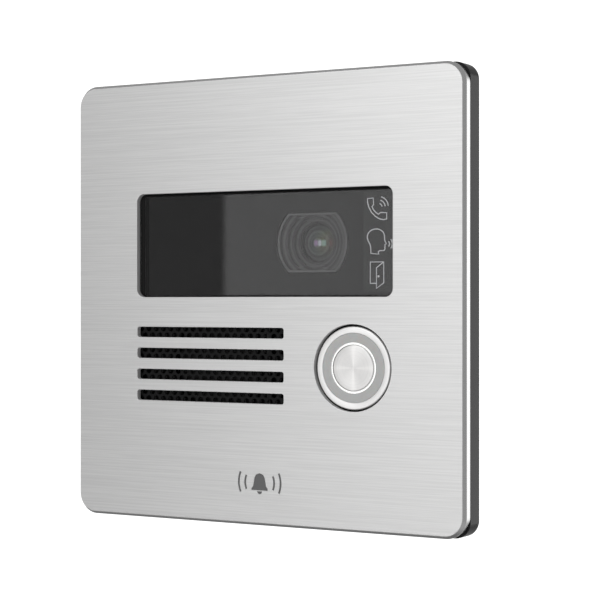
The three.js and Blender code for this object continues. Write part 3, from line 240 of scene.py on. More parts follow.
def paintPlastic(name, dark, light, rough, grain=3200, depth=0.02, gloss=0.5, bump=0.35):
    paint = paintFor(name)
    fine = paint.noise((grain,) * 3, 3)
    cloud = paint.noise((70,) * 3, 3)
    return paint.surface({
        "Base Color": paint.mix(0.4 * fine + 0.6 * cloud, dark, light),
        "Roughness": rough + 0.14 * (fine - 0.5) + 0.1 * (cloud - 0.5), "Specular IOR Level": gloss,
        "Normal": paint.bump(fine, bump, depth * mm)})


smokedGlass = {
    "tint": (0.62, 0.62, 0.625), "smeared": (0.5952, 0.5952, 0.6), "ior": 1.452, "flange": 2.58 * mm,
    "borderLeft": (0.3 * mm, 1.75 * mm), "borderTop": 0.5 * mm, "borderRough": 0.9,
}


def paintSmokedGlass():  # with a black band at its left and top, part print and part painted shade of the gap beside the pane
    own, paint = smokedGlass, paintFor("smokedGlass")
    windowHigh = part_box("window")[1]
    left, top = own["flange"] - windowHigh.x, windowHigh.z - own["flange"] - own["borderTop"]
    near, far = own["borderLeft"]
    x, y, z = paint.axes()
    # the black band is print and painted shade of the gap together
    printAndShadeBand = paint.maths("MAXIMUM", paint.between(x, left + near, left + far, 0.04 * mm),
                          paint.step(z, top, top + 0.08 * mm))
    color = paint.mix(paint.noise((60, 60, 160), 3), own["tint"], own["smeared"])
    return paint.surface({
        "Base Color": paint.mix(printAndShadeBand, color, (0.0, 0.0, 0.0)), "Roughness": own["borderRough"] * printAndShadeBand,
        "IOR": own["ior"], "Transmission Weight": 1.0})


lensGlass = {
    "core": (0.17, 0.171, 0.175), "zone": (0.28, 0.282, 0.286), "ior": 1.6, "filmThick": 420.0, "filmIor": 1.38,
    # each painted reflection's middle and half width across, in mm, and its colour
    "paintedGlints": [(-0.4, 0.55, (0.20, 0.11, 0.24)), (0.7, 0.4, (0.34, 0.36, 0.44)),
               (1.85, 0.6, (0.15, 0.25, 0.23)), (3.6, 0.35, (0.07, 0.02, 0.02))],
}


def paintLensGlass():  # for a piece turned about its own Z, with painted reflections that glow near its middle
    own, paint = lensGlass, paintFor("lensGlass")
    x, y, z = paint.axes()
    zones = paint.noiseAlong(paint.rings() * 1500.0, 1)
    paintedGlow = (0.0, 0.0, 0.0)
    for middle, half, color in own["paintedGlints"]:
        paintedSpot = paint.between(x, (middle - half) * mm, (middle + half) * mm, 0.15 * mm)
        paintedSpot *= paint.between(y, -0.8 * mm, 0.7 * mm, 0.35 * mm)
        paintedGlow = paint.mix(paintedSpot, paintedGlow, color)
    return paint.surface({
        "Base Color": paint.mix(paint.step(zones, 0.4, 0.6), own["core"], own["zone"]),
        "Roughness": 0.03 + 0.03 * zones, "IOR": own["ior"], "Thin Film Thickness": own["filmThick"],
        "Thin Film IOR": own["filmIor"], "Emission Color": paintedGlow, "Emission Strength": 1.0})


frostedRing = {"dark": (0.48, 0.48, 0.475), "light": (0.585, 0.585, 0.58), "rough": 0.55}


def paintFrostedRing():  # for a piece turned about its own Z
    own, paint = frostedRing, paintFor("frostedRing")
    turned = paint.noiseAlong(paint.rings() * 3500.0, 2)
    haze = paint.noise((600, 600, 600), 3)
    return paint.surface({
        "Base Color": paint.mix(0.5 * turned + 0.5 * haze, own["dark"], own["light"]),
        "Roughness": own["rough"] + 0.2 * (haze - 0.5), "Subsurface Weight": 0.15,
        "Subsurface Scale": 1.0 * mm, "Normal": paint.bump(haze, 0.2, 0.02 * mm)})


hoodPlastic = {
    # all three tones are painted light and shade: shaded rings, lit rings and a highlight on the lip
    "groove": (0.11, 0.11, 0.112), "paintedLightRing": (0.235, 0.235, 0.237), "rim": (0.34, 0.34, 0.342),
    "pitch": 1.45 * mm,
}


def paintHood():  # rings painted lighter and darker as the light and shade of its steps, and a painted highlight on its front lip
    own, paint = hoodPlastic, paintFor("hoodPlastic")
    low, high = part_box("lens_hood")
    radius = paint.rings(((low.x + high.x) / 2, (low.z + high.z) / 2), "xz")
    turn = paint.maths("SINE", radius * (2 * math.pi / own["pitch"]), 0)
    fine = paint.noise((2600,) * 3, 3)
    # painted highlight along the hood's front lip
    lip = 1 - paint.step(paint.axes()[1] - low.y, 0.02 * mm, 0.12 * mm)
    color = paint.mix(paint.step(turn + 0.3 * fine, -0.3, 0.5), own["groove"], own["paintedLightRing"])
    return paint.surface({
        "Base Color": paint.mix(lip, color, own["rim"]), "Roughness": 0.4 + 0.2 * (fine - 0.5),
        "Normal": paint.bump(fine, 0.1, 0.02 * mm)})


def paintBoard():
    paint = paintFor("circuitBoard")
    tracks = paint.node("ShaderNodeTexBrick", None, {
        "Vector": paint.stretched((220, 220, 220)), "Scale": 1.0, "Mortar Size": 0.03}, "Fac")
    weave = paint.noise((2400, 2400, 2400), 2)
    color = paint.mix(tracks, (0.010, 0.075, 0.040), (0.030, 0.165, 0.085))
    return paint.surface({
        "Base Color": paint.mix(0.3 * weave, color, (0.05, 0.12, 0.07)), "Roughness": 0.3 + 0.25 * weave,
        "Normal": paint.bump(tracks + 0.2 * weave, 0.4, 0.03 * mm)})


def paintFilm():
    paint = paintFor("flexFilm")
    x, y, z = paint.axes()
    wires = paint.step(paint.maths("SINE", x * 9000.0, 0), -0.1, 0.3)
    haze = paint.noise((400,) * 3, 2)
    return paint.surface({
        "Base Color": paint.mix(wires, (0.34, 0.13, 0.025), (0.50, 0.25, 0.06)), "Metallic": 0.25 * wires,
        "Roughness": 0.3 + 0.2 * haze, "Normal": paint.bump(wires, 0.3, 0.03 * mm)})


terminalHeader = {
    "dark": (0.045, 0.047, 0.05), "light": (0.07, 0.072, 0.076), "tin": (0.8, 0.77, 0.7),
    "pinHalf": 0.6 * mm, "pinSide": 1.5 * mm, "pinDeep": (7.95 * mm, 4.5 * mm),
}


def paintHeader():  # grey moulding whose pins are tinned
    own, paint = terminalHeader, paintFor("terminalHeader")
    low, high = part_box("io_terminal_header")
    middleZ, (deep, shallow) = (low.z + high.z) / 2, own["pinDeep"]
    x, y, z = paint.axes()
    pin = paint.between(z, middleZ - own["pinHalf"], middleZ + own["pinHalf"], 0.02 * mm)
    pin *= paint.between(x, low.x + own["pinSide"], high.x - own["pinSide"], 0.02 * mm)
    pin *= paint.between(y, high.y - deep, high.y - shallow, 0.02 * mm)
    fine = paint.noise((3000,) * 3, 3)
    return paint.surface({
        "Base Color": paint.mix(pin, paint.mix(fine, own["dark"], own["light"]), own["tin"]),
        "Metallic": pin, "Roughness": 0.5 - 0.2 * pin + 0.1 * (fine - 0.5),
        "Normal": paint.bump(fine, 0.3, 0.02 * mm)})


def paintLamp(name, color, strength):
    paint = paintFor(name)
    haze = paint.noise((1500,) * 3, 2)
    pale = tuple(0.8 * c for c in color)
    return paint.surface({
        "Base Color": paint.mix(haze, pale, color), "Roughness": 0.3 + 0.2 * haze,
        "Emission Color": paint.mix(haze, pale, color), "Emission Strength": strength})


finishes = {
    "brushed_steel": paintBrushedSteel(),
    "spun_steel": paintSpunSteel(),
    "zinc_steel": paintSheetMetal("zincSteel", (0.42, 0.43, 0.44), (0.66, 0.67, 0.68), 0.36, 330),
    "dark_steel": paintSheetMetal("darkSteel", (0.030, 0.031, 0.033), (0.075, 0.077, 0.08), 0.42, 700),
    "yellow_zinc": paintSheetMetal("yellowZinc", (0.62, 0.44, 0.16), (0.80, 0.68, 0.38), 0.30, 500),
    "black_plastic": paintPlastic("blackPlastic", (0.0065, 0.0066, 0.0070), (0.0105, 0.0107, 0.0110), 0.42),
    "grey_plastic": paintPlastic("greyPlastic", (0.10, 0.10, 0.10), (0.15, 0.15, 0.15), 0.42, gloss=0.6),
    "black_rubber": paintPlastic(
        "blackRubber", (0.006, 0.006, 0.006), (0.014, 0.014, 0.014), 0.8, 1800, 0.05),
    "smoked_glass": paintSmokedGlass(),
    "lens_glass": paintLensGlass(),
    "clear_plastic": paintPlastic("clearPlastic", (0.30, 0.31, 0.32), (0.42, 0.43, 0.44), 0.25, 900),
    "ring_diffuser": paintFrostedRing(),
    "circuit_board": paintBoard(),
    "paper_cone": paintPlastic("paperCone", (0.012, 0.012, 0.013), (0.030, 0.029, 0.028), 0.85, 1300, 0.08),
    "ferrite": paintPlastic("ferrite", (0.020, 0.020, 0.022), (0.045, 0.045, 0.047), 0.5, 2500, 0.05),
    "flex_film": paintFilm(),
}
print("finishes made:", len(finishes))


# CAD nodes that stay: their finish comes from the record, and their edges are softened

softEdges = {
    "front_plate": 0.10, "chassis": 0.12, "rear_housing": 0.5, "wall_bracket": 0.18, "window": 0.22,
    "camera_carrier": 0.15, "lens_hood": 0.12, "io_terminal_header": 0.15, "network_jack": 0.12,
}
plainEdge = 0.08
edgeAngle = math.radians(32)
clampedEdges = ("rear_housing",)  # narrow faces here would let a free bevel run past the piece
hardEdges = ("camera_flex_cable", "return_spring", "speaker_cone", "lens_rear_element", "button_seal")


def smoothingGroup():
    group = bpy.data.node_groups.new("weldAndSmooth", "GeometryNodeTree")
    group.interface.new_socket("Geometry", in_out="INPUT", socket_type="NodeSocketGeometry")
    group.interface.new_socket("Geometry", in_out="OUTPUT", socket_type="NodeSocketGeometry")
    nodes, links = group.nodes, group.links
    start, end = nodes.new("NodeGroupInput"), nodes.new("NodeGroupOutput")
    weld = nodes.new("GeometryNodeMergeByDistance")
    weld.inputs["Distance"].default_value = 0.002 * mm
    faces = nodes.new("GeometryNodeSetShadeSmooth")
    edges = nodes.new("GeometryNodeSetShadeSmooth")
    edges.domain = "EDGE"
    edges.inputs["Shade Smooth"].default_value = False
    angle = nodes.new("GeometryNodeInputMeshEdgeAngle")
    sharp = nodes.new("FunctionNodeCompare")
    sharp.operation = "GREATER_THAN"
    sharp.inputs[1].default_value = edgeAngle
    links.new(start.outputs[0], weld.inputs["Geometry"])
    links.new(weld.outputs["Geometry"], faces.inputs["Geometry"])
    links.new(faces.outputs["Geometry"], edges.inputs["Geometry"])
    links.new(angle.outputs["Unsigned Angle"], sharp.inputs[0])
    links.new(sharp.outputs[0], edges.inputs["Selection"])
    links.new(edges.outputs["Geometry"], end.inputs[0])
    return group


smoothing = smoothingGroup()


def softenEdges(piece, width):
    piece.modifiers.new("smooth", "NODES").node_group = smoothing
    if width:
        flat = piece.modifiers.new("flat", "DECIMATE")
        flat.decimate_type, flat.angle_limit = "DISSOLVE", math.radians(0.6)
        bevel = piece.modifiers.new("edges", "BEVEL")
        bevel.width, bevel.segments = width * mm, 2
        bevel.use_clamp_overlap = piece.name in clampedEdges
        bevel.limit_method, bevel.angle_limit = "ANGLE", math.radians(35)
        bevel.harden_normals = True


ownFinishes = {
    "io_terminal_header": paintHeader(), "lens_hood": paintHood(),
    "camera_carrier": paintPlastic("satinBlack", (0.0060, 0.0060, 0.0063), (0.0090, 0.0090, 0.0093), 0.6,
                                   2000, gloss=0.05, bump=0.004),
    "chassis": paintPlastic("chassisBlack", (0.0050, 0.0050, 0.0053), (0.0080, 0.0080, 0.0083), 0.24,
                            gloss=0.15, bump=0.03),
}


def dressNodes():
    slots = {part["node"]: part["material_slot"] for part in frame["record"]["subparts"]}
    for name, node in frame["nodes"].items():
        node.data.materials.clear()
        node.data.materials.append(ownFinishes.get(name) or finishes[slots[name]])
        softenEdges(node, 0 if name in hardEdges else softEdges.get(name, plainEdge))


dressNodes()
print("nodes dressed")


# Makers for new pieces

def newPiece(name, mesh, finish):
    piece = bpy.data.objects.new(name, mesh)
    bpy.context.scene.collection.objects.link(piece)
    mesh.materials.append(finishes[finish])
    return piece


def settle(piece, body, stands=()):
    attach(piece, body)
    if stands:
        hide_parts(*stands)
    return piece


def meshOf(name, points, faces):
    mesh = bpy.data.meshes.new(name)
    mesh.from_pydata(points, [], faces)
    bm = bmesh.new()
    bm.from_mesh(mesh)
    bmesh.ops.remove_doubles(bm, verts=bm.verts, dist=0.0005 * mm)
    bmesh.ops.recalc_face_normals(bm, faces=bm.faces)
    bm.to_mesh(mesh)
    bm.free()
    mesh.polygons.foreach_set("use_smooth", [True] * len(mesh.polygons))
    mesh.set_sharp_from_angle(angle=edgeAngle)
    return mesh


def turnedMesh(name, outline, sides=96):  # outline of (radius, height) about Z, in metres
    points, faces, rows = [], [], len(outline)
    for i in range(sides):
        turn = 2 * math.pi * i / sides
        points += [(r * math.cos(turn), r * math.sin(turn), h) for r, h in outline]
    for i in range(sides):
        a, b = i * rows, ((i + 1) % sides) * rows
        for j in range(rows):
            k = (j + 1) % rows
            faces.append((a + j, b + j, b + k, a + k))
    return meshOf(name, points, faces)


def rounded(outline, radius, steps=3):  # rounds the corners of a turned outline
    made, count = [], len(outline)
    for i, here in enumerate(outline):
        here = Vector(here)
        before, after = Vector(outline[i - 1]), Vector(outline[(i + 1) % count])
        a, b = before - here, after - here
        cut = min(radius, a.length * 0.45, b.length * 0.45)
        if here.x < 1e-6 or cut <= 0:
            made.append(tuple(here))
            continue
        start, end = here + a.normalized() * cut, here + b.normalized() * cut
        for j in range(steps + 1):
            t = j / steps
            made.append(tuple((1 - t) ** 2 * start + 2 * t * (1 - t) * here + t * t * end))
    return made


def facingFront(x, z, y=0):  # local Z becomes the way out of the wall
    return Matrix.Translation((x, y, z)) @ Matrix.Rotation(math.pi / 2, 4, "X")


def turnedPiece(name, node, outline, finish, body, sides=96, soft=0.06):  # outline of (radius, y)
    low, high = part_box(node)
    middle = (low + high) / 2
    mesh = turnedMesh(name, rounded([(r, -y) for r, y in outline], soft * mm), sides)
    piece = newPiece(name, mesh, finish)
    piece.matrix_world = facingFront(middle.x, middle.z)
    return settle(piece, body, [node])


def wirePiece(name, lines, radius, finish, body):
    curve = bpy.data.curves.new(name, "CURVE")
    curve.dimensions, curve.bevel_depth, curve.bevel_resolution = "3D", radius, 2
    curve.use_fill_caps = True
    for points, cyclic in lines:
        spline = curve.splines.new("POLY")
        spline.points.add(len(points) - 1)
        for point, place in zip(spline.points, points):
            point.co = (*place, 1)
        spline.use_cyclic_u = cyclic
    return settle(newPiece(name, curve, finish), body)


def softBox(name, low, high, radius, finish, body, segments=3):
    bm = bmesh.new()
    bmesh.ops.create_cube(bm, size=1)
    size = [h - l for l, h in zip(low, high)]
    for vert in bm.verts:
        vert.co = [l + (c + 0.5) * s for l, c, s in zip(low, vert.co, size)]
    bmesh.ops.bevel(bm, geom=bm.edges[:], offset=radius, segments=segments, profile=0.5, affect="EDGES")
    mesh = bpy.data.meshes.new(name)
    bm.to_mesh(mesh)
    bm.free()
    mesh.polygons.foreach_set("use_smooth", [True] * len(mesh.polygons))
    mesh.set_sharp_from_angle(angle=math.radians(40))
    return settle(newPiece(name, mesh, finish), body)


def arcPoints(x, z, radius, start, end, steps=12):  # degrees, from +X towards +Z
    turns = [math.radians(start + (end - start) * i / steps) for i in range(steps + 1)]
    return [(x + radius * math.cos(t), z + radius * math.sin(t)) for t in turns]


# Call button

button = {
    "dish": 0.05 * mm, "capEdge": 0.2 * mm, "capThick": 1.7 * mm, "stem": 2.2 * mm,
    "bezelEdge": 0.22 * mm, "innerEdge": 0.12 * mm, "flangeBackY": -6.3 * mm, "barrel": 9.3 * mm,
    "threadY": -5.2 * mm, "threadEnd": 0.8 * mm, "threadPitch": 1.0 * mm, "threadDeep": 0.3 * mm,
    "well": 7.6 * mm, "stemHole": 2.35 * mm, "floorThick": 1.2 * mm, "ledge": 0.36 * mm, "gap": 0.1 * mm,
    "bezelRoom": 0.13 * mm, "ringRoom": (0.16 * mm, 0.11 * mm), "collarRoom": (0.05 * mm, 0.14 * mm),
    "sides": 120,
}


def makeButton():
    own = button
    cap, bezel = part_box("button_cap"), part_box("button_bezel")
    ring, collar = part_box("button_led_ring"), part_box("guide_collar")
    capRadius, bezelRadius, ringRadius, collarRadius = [
        (high.x - low.x) / 2 for low, high in (cap, bezel, ring, collar)]
    front, back = cap[0].y, cap[0].y + own["capThick"]
    turnedPiece("button_cap_spun", "button_cap", [
        (0, front + own["dish"]), (capRadius * 0.7, front + own["dish"] * 0.4),
        (capRadius - own["capEdge"], front), (capRadius, front + own["capEdge"]), (capRadius, back),
        (own["stem"], back), (own["stem"], cap[1].y), (0, cap[1].y)], "spun_steel", "call_button")
    barrelThread, y = [], own["threadY"]
    while y < bezel[1].y - own["threadEnd"]:
        barrelThread += [(own["barrel"] - own["threadDeep"], y), (own["barrel"], y + own["threadPitch"] / 2)]
        y += own["threadPitch"]
    inner, front = ringRadius + own["bezelRoom"], bezel[0].y
    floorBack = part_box("button_clip")[0].y - own["gap"]
    floorFront = floorBack - own["floorThick"]
    ledge, ledgeY = collarRadius - own["ledge"], collar[1].y + own["gap"]
    turnedPiece("button_bezel_spun", "button_bezel", [
        (inner, front + own["innerEdge"]), (inner + own["innerEdge"], front),
        (bezelRadius - own["bezelEdge"], front), (bezelRadius, front + own["bezelEdge"]),
        (bezelRadius, own["flangeBackY"]), (own["barrel"], own["flangeBackY"]), *barrelThread,
        (own["barrel"], bezel[1].y), (own["well"], bezel[1].y), (own["well"], floorBack),
        (own["stemHole"], floorBack), (own["stemHole"], floorFront), (ledge, floorFront), (ledge, ledgeY),
        (inner, ledgeY)], "bezel", "front_unit", own["sides"], 0.03)
    inner, outer = collarRadius + own["ringRoom"][0], ringRadius + own["ringRoom"][1]
    turnedPiece("button_ring_frosted", "button_led_ring", [
        (inner, ring[0].y), (outer, ring[0].y), (outer, ring[1].y), (inner, ring[1].y)],
        "ring_diffuser", "front_unit", own["sides"], 0.02)
    inner, outer = capRadius + own["collarRoom"][0], collarRadius + own["collarRoom"][1]
    turnedPiece("guide_collar_turned", "guide_collar", [
        (inner, collar[0].y), (outer, collar[0].y), (outer, collar[1].y), (inner, collar[1].y)],
        "collar", "front_unit", own["sides"], 0.03)


# the bezel and the collar keep a faint painted cross highlight
finishes["bezel"] = paintSpunSteel("bezelSteel", {
    **spunSteel, "dark": (0.78, 0.775, 0.77), "light": (0.93, 0.925, 0.92), "paintedCross": 0.1})
finishes["collar"] = paintSpunSteel("polishedCollar", {
    **spunSteel, "dark": (0.92, 0.92, 0.91), "light": (0.97, 0.97, 0.96), "rough": 0.2, "anisotropic": 0.2,
    "paintedCross": 0.1})
makeButton()
print("call button made")


# Return spring behind the cap

spring = {"wire": 0.5 * mm, "turns": 3, "steps": 36, "sides": 12, "travel": 1.2 * mm}


def makeSpring():  # a coil of round wire filling the spring's box
    low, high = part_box("return_spring")
    x, z, half = (low.x + high.x) / 2, (low.z + high.z) / 2, spring["wire"] / 2
    radius, length = (high.x - low.x) / 2 - half, high.y - low.y
    rows, sides = spring["turns"] * spring["steps"], spring["sides"]
    points, faces = [], []
    for i in range(rows + 1):
        turn = 2 * math.pi * i / spring["steps"]
        y = high.y - half - (length - spring["wire"]) * i / rows
        for j in range(sides):
            around = 2 * math.pi * j / sides
            r = radius + half * math.cos(around)
            points.append((x + r * math.cos(turn), y + half * math.sin(around), z + r * math.sin(turn)))
    for i in range(rows):
        for j in range(sides):
            k = (j + 1) % sides
            faces.append((i * sides + j, i * sides + k, (i + 1) * sides + k, (i + 1) * sides + j))
    faces += [tuple(range(sides)), tuple(rows * sides + j for j in reversed(range(sides)))]
    mesh = meshOf("return_spring_coil", points, faces)
    piece = newPiece("return_spring_coil", mesh, "zinc_steel")
    settle(piece, "front_unit", ["return_spring"])
    (length - spring["travel"]) / length
    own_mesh(piece)


makeSpring()
print("return spring made")


# Lens

lens = {"dome": 1.6 * mm, "rings": 16}


def makeLens():
    low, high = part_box("lens_front_element")
    radius = (high.x - low.x) / 2
    outline = [(radius * i / lens["rings"], low.y + lens["dome"] * (i / lens["rings"]) ** 2)
               for i in range(lens["rings"] + 1)]
    outline += [(radius, high.y), (0, high.y)]
    turnedPiece("lens_dome", "lens_front_element", outline, "lens_glass", "front_unit", 96, 0)


makeLens()
print("lens made")


# Perforated sheet behind the grille

grille = {
    "pitch": 2.45 * mm, "row": 5.8 / 3 * mm, "hole": 0.84 * mm, "sides": 14, "margin": 0.5 * mm,
    "corner": 2.2 * mm, "columns": 12,
}


def grilleHoles(low, high):
    middleX, middleZ = (low.x + high.x) / 2, (low.z + high.z) / 2
    halfX, halfZ = (high.x - low.x) / 2, (high.z - low.z) / 2
    rows, columns, reach = int(halfZ / grille["row"]), grille["columns"], grille["hole"] + grille["margin"]
    for i in range(-rows, rows + 1):
        for j in range(-columns, columns + 1):
            across, up = (j + (i % 2) / 2) * grille["pitch"], i * grille["row"]
            if abs(across) + reach < halfX and abs(up) + reach < halfZ:
                yield middleX + across, middleZ + up


def makeGrilleSheet():
    low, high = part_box("speaker_mesh")
    corner, sides = grille["corner"], grille["sides"]
    left, right, bottom, top = low.x + corner, high.x - corner, low.z + corner, high.z - corner
    outer = []
    for x, z, start in ((right, top, 0), (left, top, 90), (left, bottom, 180), (right, bottom, 270)):
        outer += arcPoints(x, z, corner, start, start + 90, 6)
    loops = [outer]
    for x, z in grilleHoles(low, high):
        loops.append(arcPoints(x, z, grille["hole"], 360, 360 / sides, sides - 1))
    flat = [point for loop in loops for point in loop]
    triangles = tessellate_polygon([[Vector((x, z, 0)) for x, z in loop] for loop in loops])
    count = len(flat)
    points = [(x, low.y, z) for x, z in flat] + [(x, high.y, z) for x, z in flat]
    faces = [tuple(t) for t in triangles] + [tuple(i + count for i in reversed(t)) for t in triangles]
    start = 0
    for loop in loops:
        for i in range(len(loop)):
            a, b = start + i, start + (i + 1) % len(loop)
            faces.append((a, b, b + count, a + count))
        start += len(loop)
    piece = newPiece("grille_sheet", meshOf("grille_sheet", points, faces), "sheet")
    settle(piece, "front_unit", ["speaker_mesh"])


finishes["sheet"] = paintPlastic(
    "blackSheet", (0.005, 0.005, 0.0053), (0.010, 0.010, 0.0105), 0.5, 2600, 0.03, 0.15)
makeGrilleSheet()
print("grille sheet made")


# Icons on their dark mask, in front of the light guide

icons = {
    "line": 0.14 * mm, "proud": 0.04 * mm, "film": 0.05 * mm, "maskHalf": 4.4 * mm, "maskEnd": 0.9 * mm,
    "shift": -0.45 * mm, "lift": 0.1 * mm, "phoneScale": 0.88,
    # outlines as (x, z), in mm
    "handset": [(31.6, 26.1), (33.5, 26.2), (33.6, 24.3), (33.1, 23.7), (33.5, 22.8), (34.4, 21.9),
                (35.2, 21.4), (35.9, 21.9), (37.9, 21.8), (37.9, 19.95), (36.9, 19.8), (35.6, 20.0),
                (34.2, 20.8), (32.9, 22.0), (32.0, 23.6), (31.6, 25.0)],
    "head": [(32.6, 11.9), (32.5, 13.6), (32.3, 14.3), (31.8, 15.1), (31.5, 16.0), (31.6, 16.7), (32.0, 17.4),
             (32.7, 17.9), (33.5, 18.15), (34.5, 18.2), (35.4, 17.9), (36.1, 17.4), (36.5, 16.6),
             (36.55, 15.7), (36.6, 15.2), (37.05, 14.3), (36.6, 14.1), (36.75, 13.7), (36.55, 13.4),
             (36.7, 13.1), (36.4, 12.6), (35.1, 12.6), (34.7, 12.3), (34.9, 11.7)],
    "door": [(34.2, 4.2), (32.4, 4.2), (32.4, 9.7), (36.3, 9.7), (36.3, 4.3), (34.2, 2.9), (34.2, 8.2),
             (36.3, 9.7)],
    # each sign's sound waves: middle, radii, first and last angle, steps
    "waves": [((34.9, 23.8), (0.9, 1.8, 2.7), (5, 75), 12), ((36.95, 14.3), (1.0, 1.8), (-40, 40), 8)],
    "knobAt": (34.8, 6.0), "knobRadius": 0.28 * mm, "knobHigh": 0.1 * mm, "knobDeep": 0.05 * mm,
}


def makeIcons():
    own = icons
    low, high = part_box("icon_light_guide")
    middleX, maskY = (low.x + high.x) / 2, low.y - 4 * own["film"]
    softBox("icon_mask", (middleX - own["maskHalf"], maskY, low.z - own["maskEnd"]),
            (middleX + own["maskHalf"], maskY + own["film"], high.z + own["maskEnd"]), 0.01 * mm,
            "mask", "front_unit", 1)
    y, scale, (cornerX, cornerZ) = maskY - own["proud"], own["phoneScale"], own["handset"][0]
    handset = [(cornerX + (x - cornerX) * scale, cornerZ + (z - cornerZ) * scale) for x, z in own["handset"]]
    lines = [(handset, True), (own["head"], True), (own["door"], False)]
    for (x, z), radii, (start, end), steps in own["waves"]:
        lines += [(arcPoints(x, z, radius, start, end, steps), False) for radius in radii]
    placed = [([(x * mm + own["shift"], y, z * mm + own["lift"]) for x, z in points], cyclic)
              for points, cyclic in lines]
    wirePiece("icon_lines", placed, own["line"], "iconWhite", "front_unit")
    radius, front, back = own["knobRadius"], own["knobHigh"], -own["knobDeep"]
    knob = turnedMesh("icon_knob", [(0, front), (radius, front), (radius, back), (0, back)], 16)
    piece = newPiece("icon_knob", knob, "iconWhite")
    x, z = own["knobAt"]
    piece.matrix_world = facingFront(x * mm + own["shift"], z * mm + own["lift"], y)
    settle(piece, "front_unit")


finishes["mask"] = paintPlastic(
    "maskFilm", (0.0060, 0.0060, 0.0063), (0.0085, 0.0085, 0.0088), 0.5, 1500, bump=0.02)
finishes["iconWhite"] = paintLamp("iconWhite", (0.85, 0.86, 0.88), 0.55)
makeIcons()
print("icons made")


# Back of the housing: contacts in the network socket and a blank label

rear = {
    "contacts": 8, "contactPitch": 1.02 * mm, "contactRadius": 0.2 * mm, "contactRise": 4.0 * mm,
    # a contact's bends: how far behind the socket's face and how far below its top, in mm
    "contactBends": [(11.6, 0.3), (4.0, 0.4), (2.6, 0.7), (2.9, 1.3), (9.5, 3.6)],
    "recess": 0.4 * mm, "labelX": (-23 * mm, 23 * mm), "labelZ": (13.5 * mm, 30.5 * mm),
    "labelGap": 0.35 * mm, "labelThick": 0.2 * mm,
}


def makeRear():
    low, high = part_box("network_jack")
    middleX, top = (low.x + high.x) / 2, (low.z + high.z) / 2 + rear["contactRise"]
    lines = []
    for i in range(rear["contacts"]):
        x = middleX + (i - (rear["contacts"] - 1) / 2) * rear["contactPitch"]
        lines.append(([(x, high.y - deep * mm, top - drop * mm) for deep, drop in rear["contactBends"]], False))
    wirePiece("jack_contacts", lines, rear["contactRadius"], "yellow_zinc", "front_unit")
    recessY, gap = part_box("rear_housing")[1].y - rear["recess"], rear["labelGap"]
    (left, right), (bottom, top) = rear["labelX"], rear["labelZ"]
    softBox("rear_label", (left + gap, recessY, bottom + gap),
            (right - gap, recessY + rear["labelThick"], top - gap), 0.08 * mm,
            "label", "front_unit")


finishes["label"] = paintSheetMetal("labelFoil", (0.62, 0.63, 0.64), (0.76, 0.77, 0.78), 0.45, 120, 0.1)
makeRear()
print("rear details made")


# Threads of the wall screws

thread = {
    "pitch": 1.9 * mm, "core": 1.62 * mm, "crest": 2.05 * mm, "wide": 0.55 * mm, "steps": 20,
    "fromHead": 7 * mm, "fromTip": 2.2 * mm, "taper": 4 * mm,
}


def makeThreads():
    for number in (1, 2, 3, 4):
        low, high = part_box(f"wall_screw_{number}")
        x, z = (low.x + high.x) / 2, (low.z + high.z) / 2
        start, end = low.y + thread["fromHead"], high.y - thread["fromTip"]
        rows = int((end - start) / thread["pitch"] * thread["steps"])
        points, faces = [], []
        for i in range(rows + 1):
            turn = 2 * math.pi * i / thread["steps"]
            y = start + thread["pitch"] * i / thread["steps"]
            left = (high.y - y) / thread["taper"]
            core = thread["core"] * min(1, left)
            crest = core + (thread["crest"] - thread["core"]) * min(1, i / thread["steps"], left)
            for r, shift in ((core, -1), (crest, 0), (core, 1)):
                points.append((x + r * math.cos(turn), y + shift * thread["wide"] / 2, z + r * math.sin(turn)))
        for i in range(rows):
            a, b = 3 * i, 3 * i + 3
            faces += [(a, a + 1, b + 1, b), (a + 1, a + 2, b + 2, b + 1), (a + 2, a, b, b + 2)]
        faces += [(0, 2, 1), (3 * rows, 3 * rows + 1, 3 * rows + 2)]
        name = f"wall_screw_thread_{number}"
        settle(newPiece(name, meshOf(name, points, faces), "yellow_zinc"), "wall_bracket")


makeThreads()
print("threads made")


# Floor, studio and camera

studio = {
    "base": 0.40, "backdrop": 1.30, "backdropTurn": (100.0, 112.0), "backdropHigh": 15.0, "backdropSoft": 2.5,
    "box": 1.32, "boxLeft": -32.6, "boxRight": 12.0, "boxSoft": 0.16, "boxHigh": 52.0, "boxHighSoft": 6.0,
    "floorZ": -0.32, "floorRadius": 1.15, "lampAt": (-0.35, -0.75, 0.95), "lampSize": 0.9, "lampPower": 3.0,
}


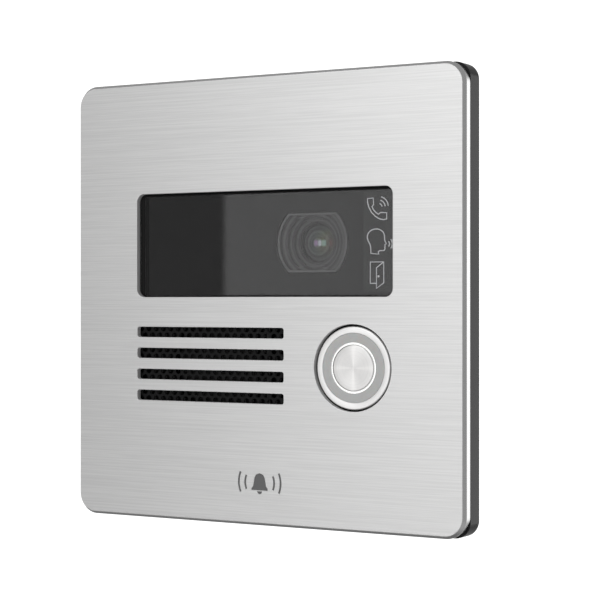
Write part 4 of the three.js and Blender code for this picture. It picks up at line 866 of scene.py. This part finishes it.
def makeWorld():  # a soft box in front and a pale backdrop behind, by turn and rise in degrees
    world = bpy.data.worlds.new("studio")
    bpy.context.scene.world = world
    paint = Paint(world, "Generated")
    x, y, z = paint.axes()
    turn = paint.maths("ARCTAN2", x, 0.0 - y) * (180 / math.pi)
    rise = paint.maths("ARCSINE", z, 0) * (180 / math.pi)
    box = paint.between(turn, studio["boxLeft"], studio["boxRight"], studio["boxSoft"])
    box *= paint.between(rise, -studio["boxHigh"], studio["boxHigh"], studio["boxHighSoft"])
    backdrop = paint.step(abs(turn), *studio["backdropTurn"])
    backdrop *= paint.between(rise, -studio["backdropHigh"], studio["backdropHigh"], studio["backdropSoft"])
    light = studio["base"] + (studio["box"] - studio["base"]) * box
    light = light + (studio["backdrop"] - studio["base"]) * backdrop
    shade = paint.node("ShaderNodeBackground", None, {"Color": (1, 1, 1, 1), "Strength": light})
    paint.node("ShaderNodeOutputWorld", None, {"Surface": shade})


def makeFloor():
    mesh = bpy.data.meshes.new("floor")
    bm = bmesh.new()
    bmesh.ops.create_circle(bm, cap_ends=True, segments=96, radius=studio["floorRadius"])
    bm.to_mesh(mesh)
    bm.free()
    floor = bpy.data.objects.new("floor", mesh)
    floor.location.z = studio["floorZ"]
    bpy.context.scene.collection.objects.link(floor)
    paint = paintFor("floorPaint")
    grain = paint.noise((30, 30, 30), 3)
    fade = paint.step(paint.rings(), 0.6 * studio["floorRadius"], 0.98 * studio["floorRadius"])
    mesh.materials.append(paint.surface({
        "Base Color": paint.mix(grain, (0.80, 0.80, 0.80), (0.84, 0.84, 0.84)), "Roughness": 0.85,
        "Alpha": 1 - fade}))


def makeLamp():
    lamp = bpy.data.lights.new("overheadSoftbox", "AREA")
    lamp.size, lamp.energy = studio["lampSize"], studio["lampPower"]
    light = bpy.data.objects.new("overheadSoftbox", lamp)
    light.location = studio["lampAt"]
    light.rotation_euler = (-light.location).to_track_quat("-Z", "Y").to_euler()
    light.visible_transmission = False
    bpy.context.scene.collection.objects.link(light)


camera = {"place": (0.246185, -0.41095, 0), "turn": (90, 0, 30.164), "lens": 106.46}


def makeCamera():
    data = bpy.data.cameras.new("camera")
    data.lens, data.sensor_width = camera["lens"], 36
    data.clip_start, data.clip_end = 0.01, 20
    eye = bpy.data.objects.new("camera", data)
    eye.location = camera["place"]
    eye.rotation_euler = [math.radians(turn) for turn in camera["turn"]]
    bpy.context.scene.collection.objects.link(eye)
    bpy.context.scene.camera = eye
    bpy.context.scene.view_settings.view_transform = "Standard"


makeWorld()
makeFloor()
makeLamp()
makeCamera()
print("studio made")
